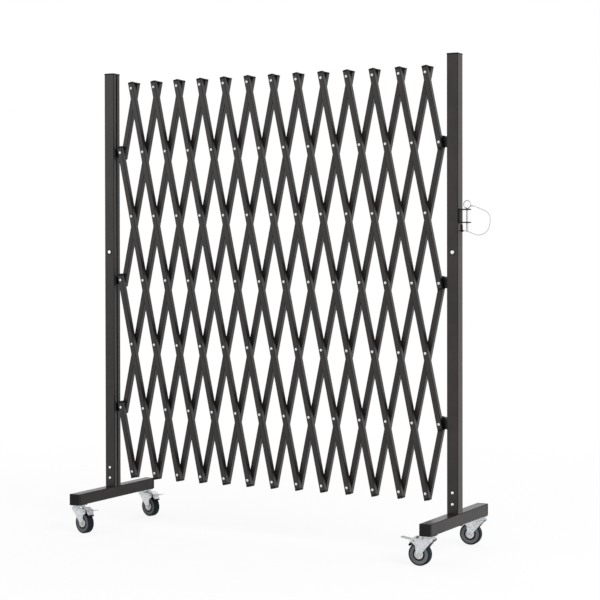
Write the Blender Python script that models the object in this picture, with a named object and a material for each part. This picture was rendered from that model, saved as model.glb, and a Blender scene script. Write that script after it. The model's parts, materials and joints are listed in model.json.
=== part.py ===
"""Expandable safety barrier: a scissor lattice of rectangular tubes between two posts on swivel casters.

Lengths are in metres. X runs along the barrier and is zero midway between the posts, Y is zero in the
middle plane of the posts with the front at -Y, and Z is up from the floor under the wheels.

The lattice's pivots lie in columns, counted from the left post, and in rows, counted from the top. The front
bars run down to the right and carry the rivets, whose pins turn in holes in the back bars, which run down to
the left. The brackets in the middle row are fixed to the posts, and the four others slide in the posts' slots.
"""

import math

import bmesh
import bpy
from mathutils import Vector

# Fits
CLEARANCE = 0.0003
WELD = 0.0005
OVERRUN = 0.002

# Lattice
PIVOT_PITCH = 0.240
BAR_LEAN = math.radians(11.8)
COLUMNS = 26
ROWS = 6
MIDDLE_ROW_HEIGHT = 0.9056
BAR_WIDTH = 0.0195
BAR_DEPTH = 0.0185
BAR_WALL = 0.0015
BAR_OVERHANG = 0.0235
LAYER_GAP = 0.005
HEAD_RADIUS = 0.0046
HEAD_HEIGHT = 0.0027
HEAD_SIDES = 8
PIN_RADIUS = 0.0040
PIN_TAIL = 0.0025
PIN_SIDES = 6

# Posts and their caps
POST_SIDE = 0.040
POST_WALL = 0.002
POST_SLOT = 0.007
POST_LENGTH = 1.5242
PIVOT_REACH = 0.029
CAP_LIP = 0.0008
CAP_RIM = 0.0030
CAP_DOME = 0.0025
CAP_BEVEL = 0.004
CAP_SPIGOT = 0.012

# Brackets and sliders
BLOCK_THICKNESS = 0.006
BLOCK_WIDTH = 0.038
BLOCK_HEIGHT = 0.032
LUG_HEIGHT = 0.034
LUG_END = 0.012
NECK_HEIGHT = 0.024
RETAINER_WIDTH = 0.026
RETAINER_HEIGHT = 0.028
RETAINER_THICKNESS = 0.003

# Base beams
CASTER_HEIGHT = 0.100
BEAM_SIDE = 0.040
BEAM_WALL = 0.002
BEAM_LENGTH = 0.493
BEAM_CAP = 0.004
SPIGOT_LENGTH = 0.100
SPIGOT_WALL = 0.003

# Bolts on the posts' front faces, with heights above the floor
BOLT_RADIUS = 0.0055
BOLT_HEAD = 0.003
BOLT_SIDES = 10
MIDDLE_BOLT_HEIGHT = 1.014
FOOT_BOLT_HEIGHTS = (0.172, 0.2105)

# Latch on the right post
LATCH_HEIGHT = 1.1295
LUG_SPACING = 0.043
KEEPER_WIDTH = 0.026
KEEPER_BASE = 0.003
KEEPER_LUG = 0.004
KEEPER_REACH = 0.0368
KEEPER_MARGIN = 0.006
PIN_OFFSET = 0.0245
LATCH_PIN_RADIUS = 0.0033
LATCH_PIN_LENGTH = 0.078
LATCH_PIN_SIDES = 12
COLLAR_RADIUS = 0.0055
COLLAR_HEIGHT = 0.0025
RING_RADIUS = 0.0125
RING_WIRE = 0.0015
RING_SIDES = 18
RING_WIRE_SIDES = 6
FERRULE_RADIUS = 0.0022
FERRULE_LENGTH = 0.009
FERRULE_DROP = 0.0053
ANCHOR_RADIUS = 0.0032
ANCHOR_LENGTH = 0.006
ANCHOR_BACK = 0.0120
ANCHOR_DROP = 0.0878
LATCH_SIDES = 10

# Lanyard: its route between the ring's ferrule and the post's anchor, round behind the pin, as distances out
# from the post's outer face, back from the middle plane, and up from the ring's centre
LANYARD_DIAMETER = 0.0024
LANYARD_ROUTE = (
    (0.0580, 0.0000, -0.0096),
    (0.0740, 0.0000, -0.0159),
    (0.0900, 0.0000, -0.0230),
    (0.1005, 0.0000, -0.0318),
    (0.1058, 0.0000, -0.0448),
    (0.1058, 0.0000, -0.0598),
    (0.1010, 0.0010, -0.0778),
    (0.0910, 0.0030, -0.0918),
    (0.0770, 0.0050, -0.0993),
    (0.0620, 0.0070, -0.1020),
    (0.0470, 0.0090, -0.0990),
    (0.0320, 0.0105, -0.0933),
    (0.0200, 0.0115, -0.0893),
    (0.0120, 0.0120, -0.0878),
)
LANYARD_STEP_SHARE = 2.4

# Casters
SWIVEL_INSET = 0.032
PLATE_SIDE = 0.046
PLATE_THICKNESS = 0.003
KING_PIN_RADIUS = 0.005
KING_PIN_END = 0.001
KING_NUT_RADIUS = 0.008
KING_NUT_HEIGHT = 0.004
TRAIL = 0.030
WHEEL_RADIUS = 0.0375
WHEEL_HALF_WIDTH = 0.0125
WHEEL_SIDES = 24
TREAD_EDGE = 0.003
TYRE_INNER_RADIUS = 0.0290
HUB_RADIUS = 0.0145
HUB_HALF_WIDTH = 0.0145
AXLE_RADIUS = 0.004
AXLE_SIDES = 12
AXLE_NUT_RADIUS = 0.0065
AXLE_NUT_HEIGHT = 0.003
FORK_INNER_HALF = 0.0155
LEG_THICKNESS = 0.0025
CROWN_THICKNESS = 0.0027
CROWN_TOP = 0.0905
CROWN_FRONT = 0.021
CROWN_REAR = 0.034
HOUSING_RADIUS = 0.0215
HOUSING_SIDES = 20
LEG_FRONT_DROP = 0.0075
LEG_TAPER_DROP = 0.014
LEG_TAPER_INSET = 0.009
LEG_FOOT_WIDTH = 0.017
LEG_FOOT_DROP = 0.009
LEG_FOOT_CHAMFER = 0.005
PEDAL_PIVOT_AHEAD = 0.016
PEDAL_PIVOT_RISE = 0.006
PEDAL_PIN_RADIUS = 0.0025
PEDAL_BOSS_RADIUS = 0.005
PEDAL_HALF_WIDTH = 0.0125
PEDAL_THICKNESS = 0.0026
PEDAL_START_BACK = 0.0085
PEDAL_START_RISE = 0.0090
PEDAL_CREST_BACK = 0.0050
PEDAL_CREST_LENGTH = 0.005
PEDAL_CREST_RISE = 0.0130
PEDAL_DIP_AHEAD = 0.0150
PEDAL_DIP_LENGTH = 0.008
PEDAL_DIP_RISE = 0.0048
PEDAL_TIP_AHEAD = 0.0500
PEDAL_TIP_RISE = 0.0090
PEDAL_TIP_THICKNESS = 0.0018
CHEEK_REACH = 0.012
CHEEK_DROP = 0.008
LEG_EAR = 0.0068
SHOE_GAP = 0.0036
SHOE_THICKNESS = 0.006
SHOE_LOW_ANGLE = math.radians(33)
SHOE_HIGH_ANGLE = math.radians(63)
SHOE_STEPS = 5
TRAIL_ANGLES = {
    "front_left": math.radians(-14),
    "back_left": math.radians(-14),
    "front_right": math.radians(180),
    "back_right": math.radians(184),
}

# Worked out from the sizes above
HALF_PITCH = PIVOT_PITCH * math.sin(BAR_LEAN)
ROW_PITCH = PIVOT_PITCH * math.cos(BAR_LEAN)
LAYER_FACE = LAYER_GAP / 2
POST_HALF = POST_SIDE / 2
POST_X = COLUMNS / 2 * HALF_PITCH + PIVOT_REACH + POST_HALF
BEAM_TOP = CASTER_HEIGHT + BEAM_SIDE
POST_FOOT = BEAM_TOP + CLEARANCE
POST_TOP = POST_FOOT + POST_LENGTH
SWIVEL_Y = BEAM_LENGTH / 2 - SWIVEL_INSET
AXLE_HEIGHT = WHEEL_RADIUS
PEDAL_PIVOT_OUT = TRAIL + PEDAL_PIVOT_AHEAD
PEDAL_PIVOT_HEIGHT = AXLE_HEIGHT + WHEEL_RADIUS + PEDAL_PIVOT_RISE
KING_NUT_FOOT = CASTER_HEIGHT + BEAM_WALL + CLEARANCE
FORK_OUTER_HALF = FORK_INNER_HALF + LEG_THICKNESS
LUG_TOP = LATCH_HEIGHT + LUG_SPACING / 2 + KEEPER_LUG / 2
RING_CENTRE_HEIGHT = LUG_TOP + CLEARANCE + COLLAR_HEIGHT - WELD + RING_RADIUS
FERRULE_START = RING_RADIUS - RING_WIRE
FERRULE_END = FERRULE_START + FERRULE_LENGTH
CENTRE_SHIFT = (PIN_OFFSET + FERRULE_END - (PLATE_SIDE / 2 - POST_HALF)) / 2

# Finishes: colour, roughness, metallic, and the edge angle below which a round face is shaded smooth
SMOOTH_ANGLE = math.radians(35)
POWDER_COAT = ((0.058, 0.060, 0.057, 1), 0.50, 0.0)
BLACK_PLASTIC = ((0.016, 0.016, 0.017, 1), 0.45, 0.0)
BRACKET_BLACK = ((0.022, 0.022, 0.023, 1), 0.40, 0.0)
ZINC = ((0.70, 0.71, 0.72, 1), 0.28, 1.0)
PIN_STEEL = ((0.50, 0.51, 0.52, 1), 0.32, 1.0)
GREY_CABLE = ((0.45, 0.46, 0.47, 1), 0.40, 0.0)
TYRE_GREY = ((0.10, 0.12, 0.12, 1), 0.62, 0.0)


def clear_scene():
    """Remove whatever the open file holds."""
    for item in list(bpy.data.objects):
        bpy.data.objects.remove(item, do_unlink=True)


def polygon(radius, sides, centre=(0, 0), turn_share=0):
    """The corners of a regular polygon, turned by a share of one side."""
    corners = []
    for count in range(sides):
        angle = 2 * math.pi * (count + turn_share) / sides
        corners.append((centre[0] + radius * math.cos(angle), centre[1] + radius * math.sin(angle)))
    return corners


def hole_radius(radius, sides):
    """The corner radius of a polygonal hole in which a pin of the given corner radius turns freely."""
    return (radius + CLEARANCE) / math.cos(math.pi / sides)


def add_prism(work, outline, start, end, axis):
    """Add a straight extrusion of an outline along an axis; the outline keeps the order of the other axes."""
    rings = []
    for along in (start, end):
        ring = []
        for point in outline:
            corner = list(point)
            corner.insert("XYZ".index(axis), along)
            ring.append(work.verts.new(corner))
        rings.append(ring)
        work.faces.new(ring)
    for first in range(len(outline)):
        second = (first + 1) % len(outline)
        work.faces.new((rings[0][first], rings[0][second], rings[1][second], rings[1][first]))


def add_box(work, low, high):
    """Add a box between two opposite corners, given in any order."""
    outline = [(low[0], low[1]), (high[0], low[1]), (high[0], high[1]), (low[0], high[1])]
    add_prism(work, outline, low[2], high[2], "Z")


def add_levels(work, levels):
    """Add a square stack on the Z axis from rows of half side and height, bottom first."""
    rings = []
    for half, height in levels:
        corners = ((-half, -half), (half, -half), (half, half), (-half, half))
        rings.append([work.verts.new((x, y, height)) for x, y in corners])
    work.faces.new(rings[0])
    work.faces.new(rings[-1])
    for low, high in zip(rings, rings[1:]):
        for first in range(len(low)):
            second = (first + 1) % len(low)
            work.faces.new((low[first], low[second], high[second], high[first]))


def add_turned(work, profile, sides, turn_share):
    """Add a closed profile of radius and place along Y, turned round the Y axis."""
    rings = []
    for radius, along in profile:
        corners = polygon(radius, sides, turn_share=turn_share)
        rings.append([work.verts.new((x, along, z)) for x, z in corners])
    for row in range(len(rings)):
        near = rings[row]
        far = rings[(row + 1) % len(rings)]
        for first in range(sides):
            second = (first + 1) % sides
            work.faces.new((near[first], near[second], far[second], far[first]))


def solid(build):
    """Make a closed mesh from a function that fills a bmesh."""
    work = bmesh.new()
    build(work)
    bmesh.ops.recalc_face_normals(work, faces=work.faces)
    mesh = bpy.data.meshes.new("solid")
    work.to_mesh(mesh)
    work.free()
    return mesh


def combine(mesh, tool_mesh, operation):
    """Return the union or difference of two meshes."""
    body = bpy.data.objects.new("body", mesh)
    tool = bpy.data.objects.new("tool", tool_mesh)
    for item in (body, tool):
        bpy.context.scene.collection.objects.link(item)
    step = body.modifiers.new("combine", "BOOLEAN")
    step.operation = operation
    step.solver = "EXACT"
    step.object = tool
    graph = bpy.context.evaluated_depsgraph_get()
    result = bpy.data.meshes.new_from_object(body.evaluated_get(graph))
    for item in (body, tool):
        bpy.data.objects.remove(item, do_unlink=True)
    return result


def joined(mesh, *builds):
    """Fuse further shapes to a mesh, one after another."""
    for build in builds:
        mesh = combine(mesh, solid(build), "UNION")
    return mesh


def cut(mesh, *builds):
    """Cut shapes out of a mesh, one after another."""
    for build in builds:
        mesh = combine(mesh, solid(build), "DIFFERENCE")
    return mesh


def coat(body, finish):
    """Give an object its own material."""
    colour, roughness, metallic = finish
    material = bpy.data.materials.new(body.name)
    material.use_nodes = True
    shader = material.node_tree.nodes["Principled BSDF"]
    shader.inputs["Base Color"].default_value = colour
    shader.inputs["Roughness"].default_value = roughness
    shader.inputs["Metallic"].default_value = metallic
    body.data.materials.clear()
    body.data.materials.append(material)


def place(name, mesh, finish, parent, location=(0, 0, 0), smooth=False):
    """Put a sub-part in the scene under the empty on which it turns or stands."""
    body = bpy.data.objects.new(name, mesh)
    bpy.context.scene.collection.objects.link(body)
    body.parent = parent
    body.location = location
    coat(body, finish)
    if smooth:
        body.data.shade_smooth()
        body.data.set_sharp_from_angle(angle=SMOOTH_ANGLE)


def pivot(name, location, parent=None, rotation=(0, 0, 0)):
    """Make an empty on a joint's axis."""
    empty = bpy.data.objects.new(name, None)
    bpy.context.scene.collection.objects.link(empty)
    empty.parent = parent
    empty.location = location
    empty.rotation_euler = rotation
    return empty


def lattice_point(column, row):
    """Where a pivot of the lattice lies at rest."""
    across = (column - COLUMNS / 2) * HALF_PITCH
    height = MIDDLE_ROW_HEIGHT + (ROWS / 2 - row) * ROW_PITCH
    return Vector((across, 0, height))


def add_tube(work, width, depth, wall, centre, top, bottom):
    """Add an open-ended rectangular tube along Z, whose middle is at the given Y."""
    rings = []
    for inset, height in ((0, top), (0, bottom), (wall, bottom), (wall, top)):
        half_x = width / 2 - inset
        half_y = depth / 2 - inset
        corners = ((-half_x, -half_y), (half_x, -half_y), (half_x, half_y), (-half_x, half_y))
        rings.append([work.verts.new((x, centre + y, height)) for x, y in corners])
    for row in range(len(rings)):
        near = rings[row]
        far = rings[(row + 1) % len(rings)]
        for first in range(len(near)):
            second = (first + 1) % len(near)
            work.faces.new((near[first], near[second], far[second], far[first]))


def bar_tube(count, front):
    """A bar through the given number of pivots, with the topmost at its origin."""
    side = -1 if front else 1
    centre = side * (LAYER_FACE + BAR_DEPTH / 2)
    bottom = -(count - 1) * PIVOT_PITCH - BAR_OVERHANG
    return solid(lambda work: add_tube(work, BAR_WIDTH, BAR_DEPTH, BAR_WALL, centre, BAR_OVERHANG, bottom))


def add_rods(work, count, radius, sides, start, end):
    """Add one rod along Y at each pivot of a bar."""
    for index in range(count):
        outline = polygon(radius, sides, (0, -index * PIVOT_PITCH), 0.5)
        add_prism(work, outline, start, end, "Y")


def front_bar(count):
    """A front bar with its rivets' heads outside and their pins inside."""
    face = -(LAYER_FACE + BAR_DEPTH)
    back = -LAYER_FACE
    tail = LAYER_FACE + BAR_WALL + PIN_TAIL
    return joined(
        bar_tube(count, True),
        lambda work: add_rods(work, count, HEAD_RADIUS, HEAD_SIDES, face - HEAD_HEIGHT, face + WELD),
        lambda work: add_rods(work, count, PIN_RADIUS, PIN_SIDES, back - WELD, tail),
    )


def back_bar(count):
    """A back bar with the holes that the rivets' pins turn in."""
    radius = hole_radius(PIN_RADIUS, PIN_SIDES)
    start = LAYER_FACE - OVERRUN
    end = LAYER_FACE + BAR_WALL + OVERRUN
    return cut(bar_tube(count, False), lambda work: add_rods(work, count, radius, PIN_SIDES, start, end))


def carrier_of_back_bar(index):
    """Which front bar a back bar is hung on, along the zigzag that leads from post to post."""
    if index < 3:
        return -1
    if index < 11:
        return -3
    return 9 if index < 23 else 21


def carrier_of_front_bar(index):
    """Which back bar a front bar is hung on; the bar numbered -3 hangs on the left middle bracket."""
    if index == -3:
        return 3
    if index < -1:
        return 7
    if index < 11:
        return 9
    if index < 23:
        return 21
    return 29 if index < 25 else 27


def lattice():
    """Place every bar of the lattice on the pivot that carries it."""
    last = COLUMNS + ROWS
    meshes = {}
    for order, index in enumerate(range(1 - ROWS, COLUMNS, 2), start=1):
        top_row = max(0, -index)
        count = min(ROWS, COLUMNS - index) - top_row + 1
        row = (carrier_of_front_bar(index) - index) // 2
        turn = pivot(f"front_bar_{order:02d}_pivot", lattice_point(index + row, row), None, (0, -BAR_LEAN, 0))
        if ("front", count) not in meshes:
            meshes["front", count] = front_bar(count)
        mesh = meshes["front", count].copy()
        offset = (row - top_row) * PIVOT_PITCH
        place(f"front_bar_{order:02d}", mesh, POWDER_COAT, turn, (0, 0, offset))
    for order, index in enumerate(range(1, last, 2), start=1):
        top_row = max(0, index - COLUMNS)
        count = min(ROWS, index) - top_row + 1
        row = (index - carrier_of_back_bar(index)) // 2
        turn = pivot(f"back_bar_{order:02d}_pivot", lattice_point(index - row, row), None, (0, BAR_LEAN, 0))
        if ("back", count) not in meshes:
            meshes["back", count] = back_bar(count)
        mesh = meshes["back", count].copy()
        offset = (row - top_row) * PIVOT_PITCH
        place(f"back_bar_{order:02d}", mesh, POWDER_COAT, turn, (0, 0, offset))


def bracket(side):
    """A bracket about its lattice pivot: a lug between the bar layers, a block and a key in the post's slot."""
    block = side * (PIVOT_REACH - BLOCK_THICKNESS)
    seat = side * (PIVOT_REACH - CLEARANCE)
    key = side * (PIVOT_REACH + POST_WALL + CLEARANCE)
    retainer = key + side * RETAINER_THICKNESS
    weld = side * WELD
    lug_half = LAYER_FACE - CLEARANCE
    neck_half = POST_SLOT / 2 - CLEARANCE
    hole = polygon(hole_radius(PIN_RADIUS, PIN_SIDES), PIN_SIDES, (0, 0), 0.5)

    def lug(work):
        add_box(work, (-side * LUG_END, -lug_half, -LUG_HEIGHT / 2), (block + weld, lug_half, LUG_HEIGHT / 2))

    def pad(work):
        add_box(work, (block, -BLOCK_WIDTH / 2, -BLOCK_HEIGHT / 2), (seat, BLOCK_WIDTH / 2, BLOCK_HEIGHT / 2))

    def neck(work):
        add_box(work, (seat - weld, -neck_half, -NECK_HEIGHT / 2), (key + weld, neck_half, NECK_HEIGHT / 2))

    def plate(work):
        half = RETAINER_WIDTH / 2
        add_box(work, (key, -half, -RETAINER_HEIGHT / 2), (retainer, half, RETAINER_HEIGHT / 2))

    body = joined(solid(pad), lug, neck, plate)
    return cut(body, lambda work: add_prism(work, hole, -LAYER_GAP, LAYER_GAP, "Y"))


def post(side):
    """A slotted post, with its foot at the origin, the slot towards the lattice and its bolts in front."""
    inner = POST_HALF - POST_WALL
    slot = POST_SLOT / 2
    outline = [
        (-side * POST_HALF, slot),
        (-side * POST_HALF, POST_HALF),
        (side * POST_HALF, POST_HALF),
        (side * POST_HALF, -POST_HALF),
        (-side * POST_HALF, -POST_HALF),
        (-side * POST_HALF, -slot),
        (-side * inner, -slot),
        (-side * inner, -inner),
        (side * inner, -inner),
        (side * inner, inner),
        (-side * inner, inner),
        (-side * inner, slot),
    ]
    start = -POST_HALF - BOLT_HEAD
    end = -POST_HALF + WELD

    def bolts(work):
        for height in (MIDDLE_BOLT_HEIGHT, *FOOT_BOLT_HEIGHTS):
            add_prism(work, polygon(BOLT_RADIUS, BOLT_SIDES, (0, height - POST_FOOT)), start, end, "Y")

    return joined(solid(lambda work: add_prism(work, outline, 0, POST_LENGTH, "Z")), bolts)


def lanyard_anchor(work):
    """The boss on the right post's outer face that holds the lanyard, in the post's own frame."""
    outline = polygon(ANCHOR_RADIUS, LATCH_SIDES, (ANCHOR_BACK, RING_CENTRE_HEIGHT - ANCHOR_DROP - POST_FOOT))
    add_prism(work, outline, POST_HALF - WELD, POST_HALF + ANCHOR_LENGTH, "X")


def post_cap():
    """A domed cap with a lip and a square spigot, with the post's top at its origin."""
    spigot = POST_HALF - POST_WALL - CLEARANCE
    levels = (
        (spigot, -CAP_SPIGOT),
        (spigot, CLEARANCE),
        (POST_HALF + CAP_LIP, CLEARANCE),
        (POST_HALF + CAP_LIP, CLEARANCE + CAP_RIM),
        (POST_HALF - CAP_BEVEL, CLEARANCE + CAP_RIM + CAP_DOME),
    )
    return solid(lambda work: add_levels(work, levels))


def base_beam():
    """A closed-ended beam with the post's spigot, which vents it, and the casters' plates with their holes."""
    half = BEAM_SIDE / 2
    bore = half - BEAM_WALL
    bore_end = BEAM_LENGTH / 2 - BEAM_CAP
    spigot = POST_HALF - POST_WALL - CLEARANCE
    spigot_top = half + SPIGOT_LENGTH
    spigot_bore = spigot - SPIGOT_WALL
    plate_foot = -half - PLATE_THICKNESS

    def shell(work):
        add_box(work, (-half, -BEAM_LENGTH / 2, -half), (half, BEAM_LENGTH / 2, half))

    def sleeve(work):
        add_box(work, (-spigot, -spigot, half - WELD), (spigot, spigot, spigot_top))

    def plates(work):
        for y in (-SWIVEL_Y, SWIVEL_Y):
            edge = PLATE_SIDE / 2
            add_box(work, (-edge, y - edge, plate_foot), (edge, y + edge, -half + WELD))

    def hollow(work):
        add_box(work, (-bore, -bore_end, -bore), (bore, bore_end, bore))

    def sleeve_hollow(work):
        add_box(work, (-spigot_bore, -spigot_bore, bore - WELD), (spigot_bore, spigot_bore, spigot_top + OVERRUN))

    def swivel_holes(work):
        for y in (-SWIVEL_Y, SWIVEL_Y):
            outline = polygon(hole_radius(KING_PIN_RADIUS, AXLE_SIDES), AXLE_SIDES, (0, y))
            add_prism(work, outline, plate_foot - OVERRUN, OVERRUN - bore, "Z")

    return cut(joined(solid(shell), sleeve, plates), hollow, sleeve_hollow, swivel_holes)


def pin_hole(work):
    """The hole for the latch pin, through every lug, at the post's face in the keeper's own frame."""
    outline = polygon(hole_radius(LATCH_PIN_RADIUS, LATCH_PIN_SIDES), LATCH_PIN_SIDES, (PIN_OFFSET, 0))
    add_prism(work, outline, -LUG_SPACING, LUG_SPACING, "Z")


def latch_keeper():
    """The U keeper: two lugs on a base plate, about the latch height on the post's outer face."""
    base_half = (LUG_SPACING + KEEPER_LUG) / 2 + KEEPER_MARGIN
    half = KEEPER_WIDTH / 2
    base_face = CLEARANCE + KEEPER_BASE

    def lugs(work):
        for middle in (-LUG_SPACING / 2, LUG_SPACING / 2):
            low = (base_face - WELD, -half + WELD, middle - KEEPER_LUG / 2)
            high = (KEEPER_REACH, half - WELD, middle + KEEPER_LUG / 2)
            add_box(work, low, high)

    base = solid(lambda work: add_box(work, (CLEARANCE, -half, -base_half), (base_face, half, base_half)))
    return cut(joined(base, lugs), pin_hole)


def latch_pin():
    """The pin with its collar, pull ring and the lanyard's ferrule; the lug that it rests on is at zero."""
    collar_top = CLEARANCE + COLLAR_HEIGHT
    ring_height = RING_CENTRE_HEIGHT - LUG_TOP

    def stem(work):
        outline = polygon(LATCH_PIN_RADIUS, LATCH_PIN_SIDES)
        add_prism(work, outline, collar_top - WELD - LATCH_PIN_LENGTH, collar_top - WELD, "Z")

    def ring(work):
        profile_rings = []
        for count in range(RING_SIDES):
            angle = 2 * math.pi * count / RING_SIDES
            outward = Vector((math.cos(angle), 0, math.sin(angle)))
            middle = Vector((0, 0, ring_height)) + outward * RING_RADIUS
            corners = polygon(RING_WIRE, RING_WIRE_SIDES)
            profile_rings.append([work.verts.new(middle + outward * a + Vector((0, b, 0))) for a, b in corners])
        for count in range(RING_SIDES):
            near = profile_rings[count]
            far = profile_rings[(count + 1) % RING_SIDES]
            for first in range(RING_WIRE_SIDES):
                second = (first + 1) % RING_WIRE_SIDES
                work.faces.new((near[first], near[second], far[second], far[first]))

    def ferrule(work):
        outline = polygon(FERRULE_RADIUS, LATCH_SIDES, (0, ring_height - FERRULE_DROP))
        add_prism(work, outline, FERRULE_START, FERRULE_END, "X")

    collar = solid(lambda work: add_prism(work, polygon(COLLAR_RADIUS, LATCH_PIN_SIDES), CLEARANCE, collar_top, "Z"))
    return joined(collar, stem, ring, ferrule)


def smooth_route(points, step):
    """Points at an even step along a smooth curve through the route's own points."""
    padded = [points[0] * 2 - points[1], *points, points[-1] * 2 - points[-2]]
    dense = []
    fine = 24
    for a, b, c, d in zip(padded, padded[1:], padded[2:], padded[3:]):
        for count in range(fine):
            t = count / fine
            bend = (a * 2 - b * 5 + c * 4 - d) * t * t + (b * 3 - a - c * 3 + d) * t * t * t
            dense.append((b * 2 + (c - a) * t + bend) / 2)
    dense.append(points[-1])
    travel = [0.0]
    for first, second in zip(dense, dense[1:]):
        travel.append(travel[-1] + (second - first).length)
    pieces = round(travel[-1] / step)
    even = []
    index = 0
    for count in range(pieces + 1):
        target = travel[-1] * count / pieces
        while index < len(travel) - 2 and travel[index + 1] < target:
            index += 1
        share = (target - travel[index]) / (travel[index + 1] - travel[index])
        even.append(dense[index].lerp(dense[index + 1], share))
    return even


def lanyard(parent):
    """The lanyard's cable from the ring's ferrule to the anchor on the right post's outer face."""
    start = (PIN_OFFSET + FERRULE_END + CLEARANCE, 0, -FERRULE_DROP)
    end = (ANCHOR_LENGTH + CLEARANCE, ANCHOR_BACK, -ANCHOR_DROP)
    origin = Vector((POST_X + POST_HALF, 0, RING_CENTRE_HEIGHT)) - parent.location
    route = [origin + Vector(point) for point in (start, *LANYARD_ROUTE, end)]
    points = smooth_route(route, LANYARD_DIAMETER * LANYARD_STEP_SHARE)
    line = bpy.data.curves.new("latch_lanyard", "CURVE")
    line.dimensions = "3D"
    line.bevel_depth = LANYARD_DIAMETER / 2
    line.bevel_resolution = 2
    line.use_fill_caps = True
    spline = line.splines.new("POLY")
    spline.points.add(len(points) - 1)
    for knot, point in zip(spline.points, points):
        knot.co = (*point, 1)
    body = bpy.data.objects.new("latch_lanyard", line)
    bpy.context.scene.collection.objects.link(body)
    body.parent = parent
    coat(body, GREY_CABLE)


def caster_wheel():
    """A tyre on its hub, about the axle, with a flat of the tread downwards."""
    share = 1 / math.cos(math.pi / WHEEL_SIDES)
    bore = hole_radius(AXLE_RADIUS, WHEEL_SIDES)
    half_profile = [
        (bore, HUB_HALF_WIDTH),
        (HUB_RADIUS, HUB_HALF_WIDTH),
        (TYRE_INNER_RADIUS, WHEEL_HALF_WIDTH),
        ((WHEEL_RADIUS - TREAD_EDGE) * share, WHEEL_HALF_WIDTH),
        (WHEEL_RADIUS * share, WHEEL_HALF_WIDTH - TREAD_EDGE),
    ]
    far_side = [(radius, -along) for radius, along in reversed(half_profile)]
    return solid(lambda work: add_turned(work, half_profile + far_side, WHEEL_SIDES, 0.5))


def caster_fork():
    """A swivel fork trailing towards +X from its swivel axis, with its king pin, axle and pedal's pin."""
    crown_foot = CROWN_TOP - CROWN_THICKNESS
    leg_top = CROWN_TOP - WELD
    half_foot = LEG_FOOT_WIDTH / 2
    foot = AXLE_HEIGHT - LEG_FOOT_DROP
    leg = [
        (-CROWN_FRONT, leg_top),
        (-CROWN_FRONT, CROWN_TOP - LEG_FRONT_DROP),
        (-CROWN_FRONT + LEG_TAPER_INSET, CROWN_TOP - LEG_TAPER_DROP),
        (TRAIL - half_foot, AXLE_HEIGHT),
        (TRAIL - half_foot, foot + LEG_FOOT_CHAMFER),
        (TRAIL - half_foot + LEG_FOOT_CHAMFER, foot),
        (TRAIL + half_foot - LEG_FOOT_CHAMFER, foot),
        (TRAIL + half_foot, foot + LEG_FOOT_CHAMFER),
        (TRAIL + half_foot, AXLE_HEIGHT),
        (PEDAL_PIVOT_OUT + LEG_EAR, PEDAL_PIVOT_HEIGHT - LEG_EAR),
        (PEDAL_PIVOT_OUT + LEG_EAR, PEDAL_PIVOT_HEIGHT + LEG_EAR / 2),
        (PEDAL_PIVOT_OUT, PEDAL_PIVOT_HEIGHT + LEG_EAR),
        (CROWN_REAR, leg_top),
    ]

    def crown(work):
        low = (-CROWN_FRONT + WELD, -FORK_OUTER_HALF + WELD, crown_foot)
        add_box(work, low, (CROWN_REAR - WELD, FORK_OUTER_HALF - WELD, CROWN_TOP))

    def legs(work):
        for side in (-1, 1):
            add_prism(work, leg, side * FORK_INNER_HALF, side * FORK_OUTER_HALF, "Y")

    def housing(work):
        top = CASTER_HEIGHT - PLATE_THICKNESS - CLEARANCE
        add_prism(work, polygon(HOUSING_RADIUS, HOUSING_SIDES), CROWN_TOP - WELD, top, "Z")

    def pins(work):
        reach = FORK_OUTER_HALF + WELD
        add_prism(work, polygon(AXLE_RADIUS, AXLE_SIDES, (TRAIL, AXLE_HEIGHT)), -reach, reach, "Y")
        pedal_place = (PEDAL_PIVOT_OUT, PEDAL_PIVOT_HEIGHT)
        add_prism(work, polygon(PEDAL_PIN_RADIUS, AXLE_SIDES, pedal_place), -reach, reach, "Y")

    def nuts(work):
        outline = polygon(AXLE_NUT_RADIUS, PIN_SIDES, (TRAIL, AXLE_HEIGHT))
        for side in (-1, 1):
            start = side * (FORK_OUTER_HALF - WELD)
            add_prism(work, outline, start, side * (FORK_OUTER_HALF + AXLE_NUT_HEIGHT), "Y")

    def king_pin(work):
        top = KING_NUT_FOOT + KING_NUT_HEIGHT + KING_PIN_END
        add_prism(work, polygon(KING_PIN_RADIUS, AXLE_SIDES), CROWN_TOP, top, "Z")

    def king_nut(work):
        outline = polygon(KING_NUT_RADIUS, PIN_SIDES)
        add_prism(work, outline, KING_NUT_FOOT, KING_NUT_FOOT + KING_NUT_HEIGHT, "Z")

    return joined(solid(crown), legs, housing, pins, nuts, king_pin, king_nut)


def pedal_strip():
    """The pedal's plate from the side: over the wheel in a crest, down to a dip and out to the toe's tip."""
    top = [
        (-PEDAL_START_BACK, PEDAL_START_RISE),
        (-PEDAL_CREST_BACK, PEDAL_CREST_RISE),
        (PEDAL_CREST_LENGTH - PEDAL_CREST_BACK, PEDAL_CREST_RISE),
        (PEDAL_DIP_AHEAD, PEDAL_DIP_RISE),
        (PEDAL_DIP_AHEAD + PEDAL_DIP_LENGTH, PEDAL_DIP_RISE),
    ]
    under = [(ahead, rise - PEDAL_THICKNESS) for ahead, rise in reversed(top)]
    tip = [(PEDAL_TIP_AHEAD, PEDAL_TIP_RISE), (PEDAL_TIP_AHEAD, PEDAL_TIP_RISE - PEDAL_TIP_THICKNESS)]
    return top + tip + under


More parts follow.
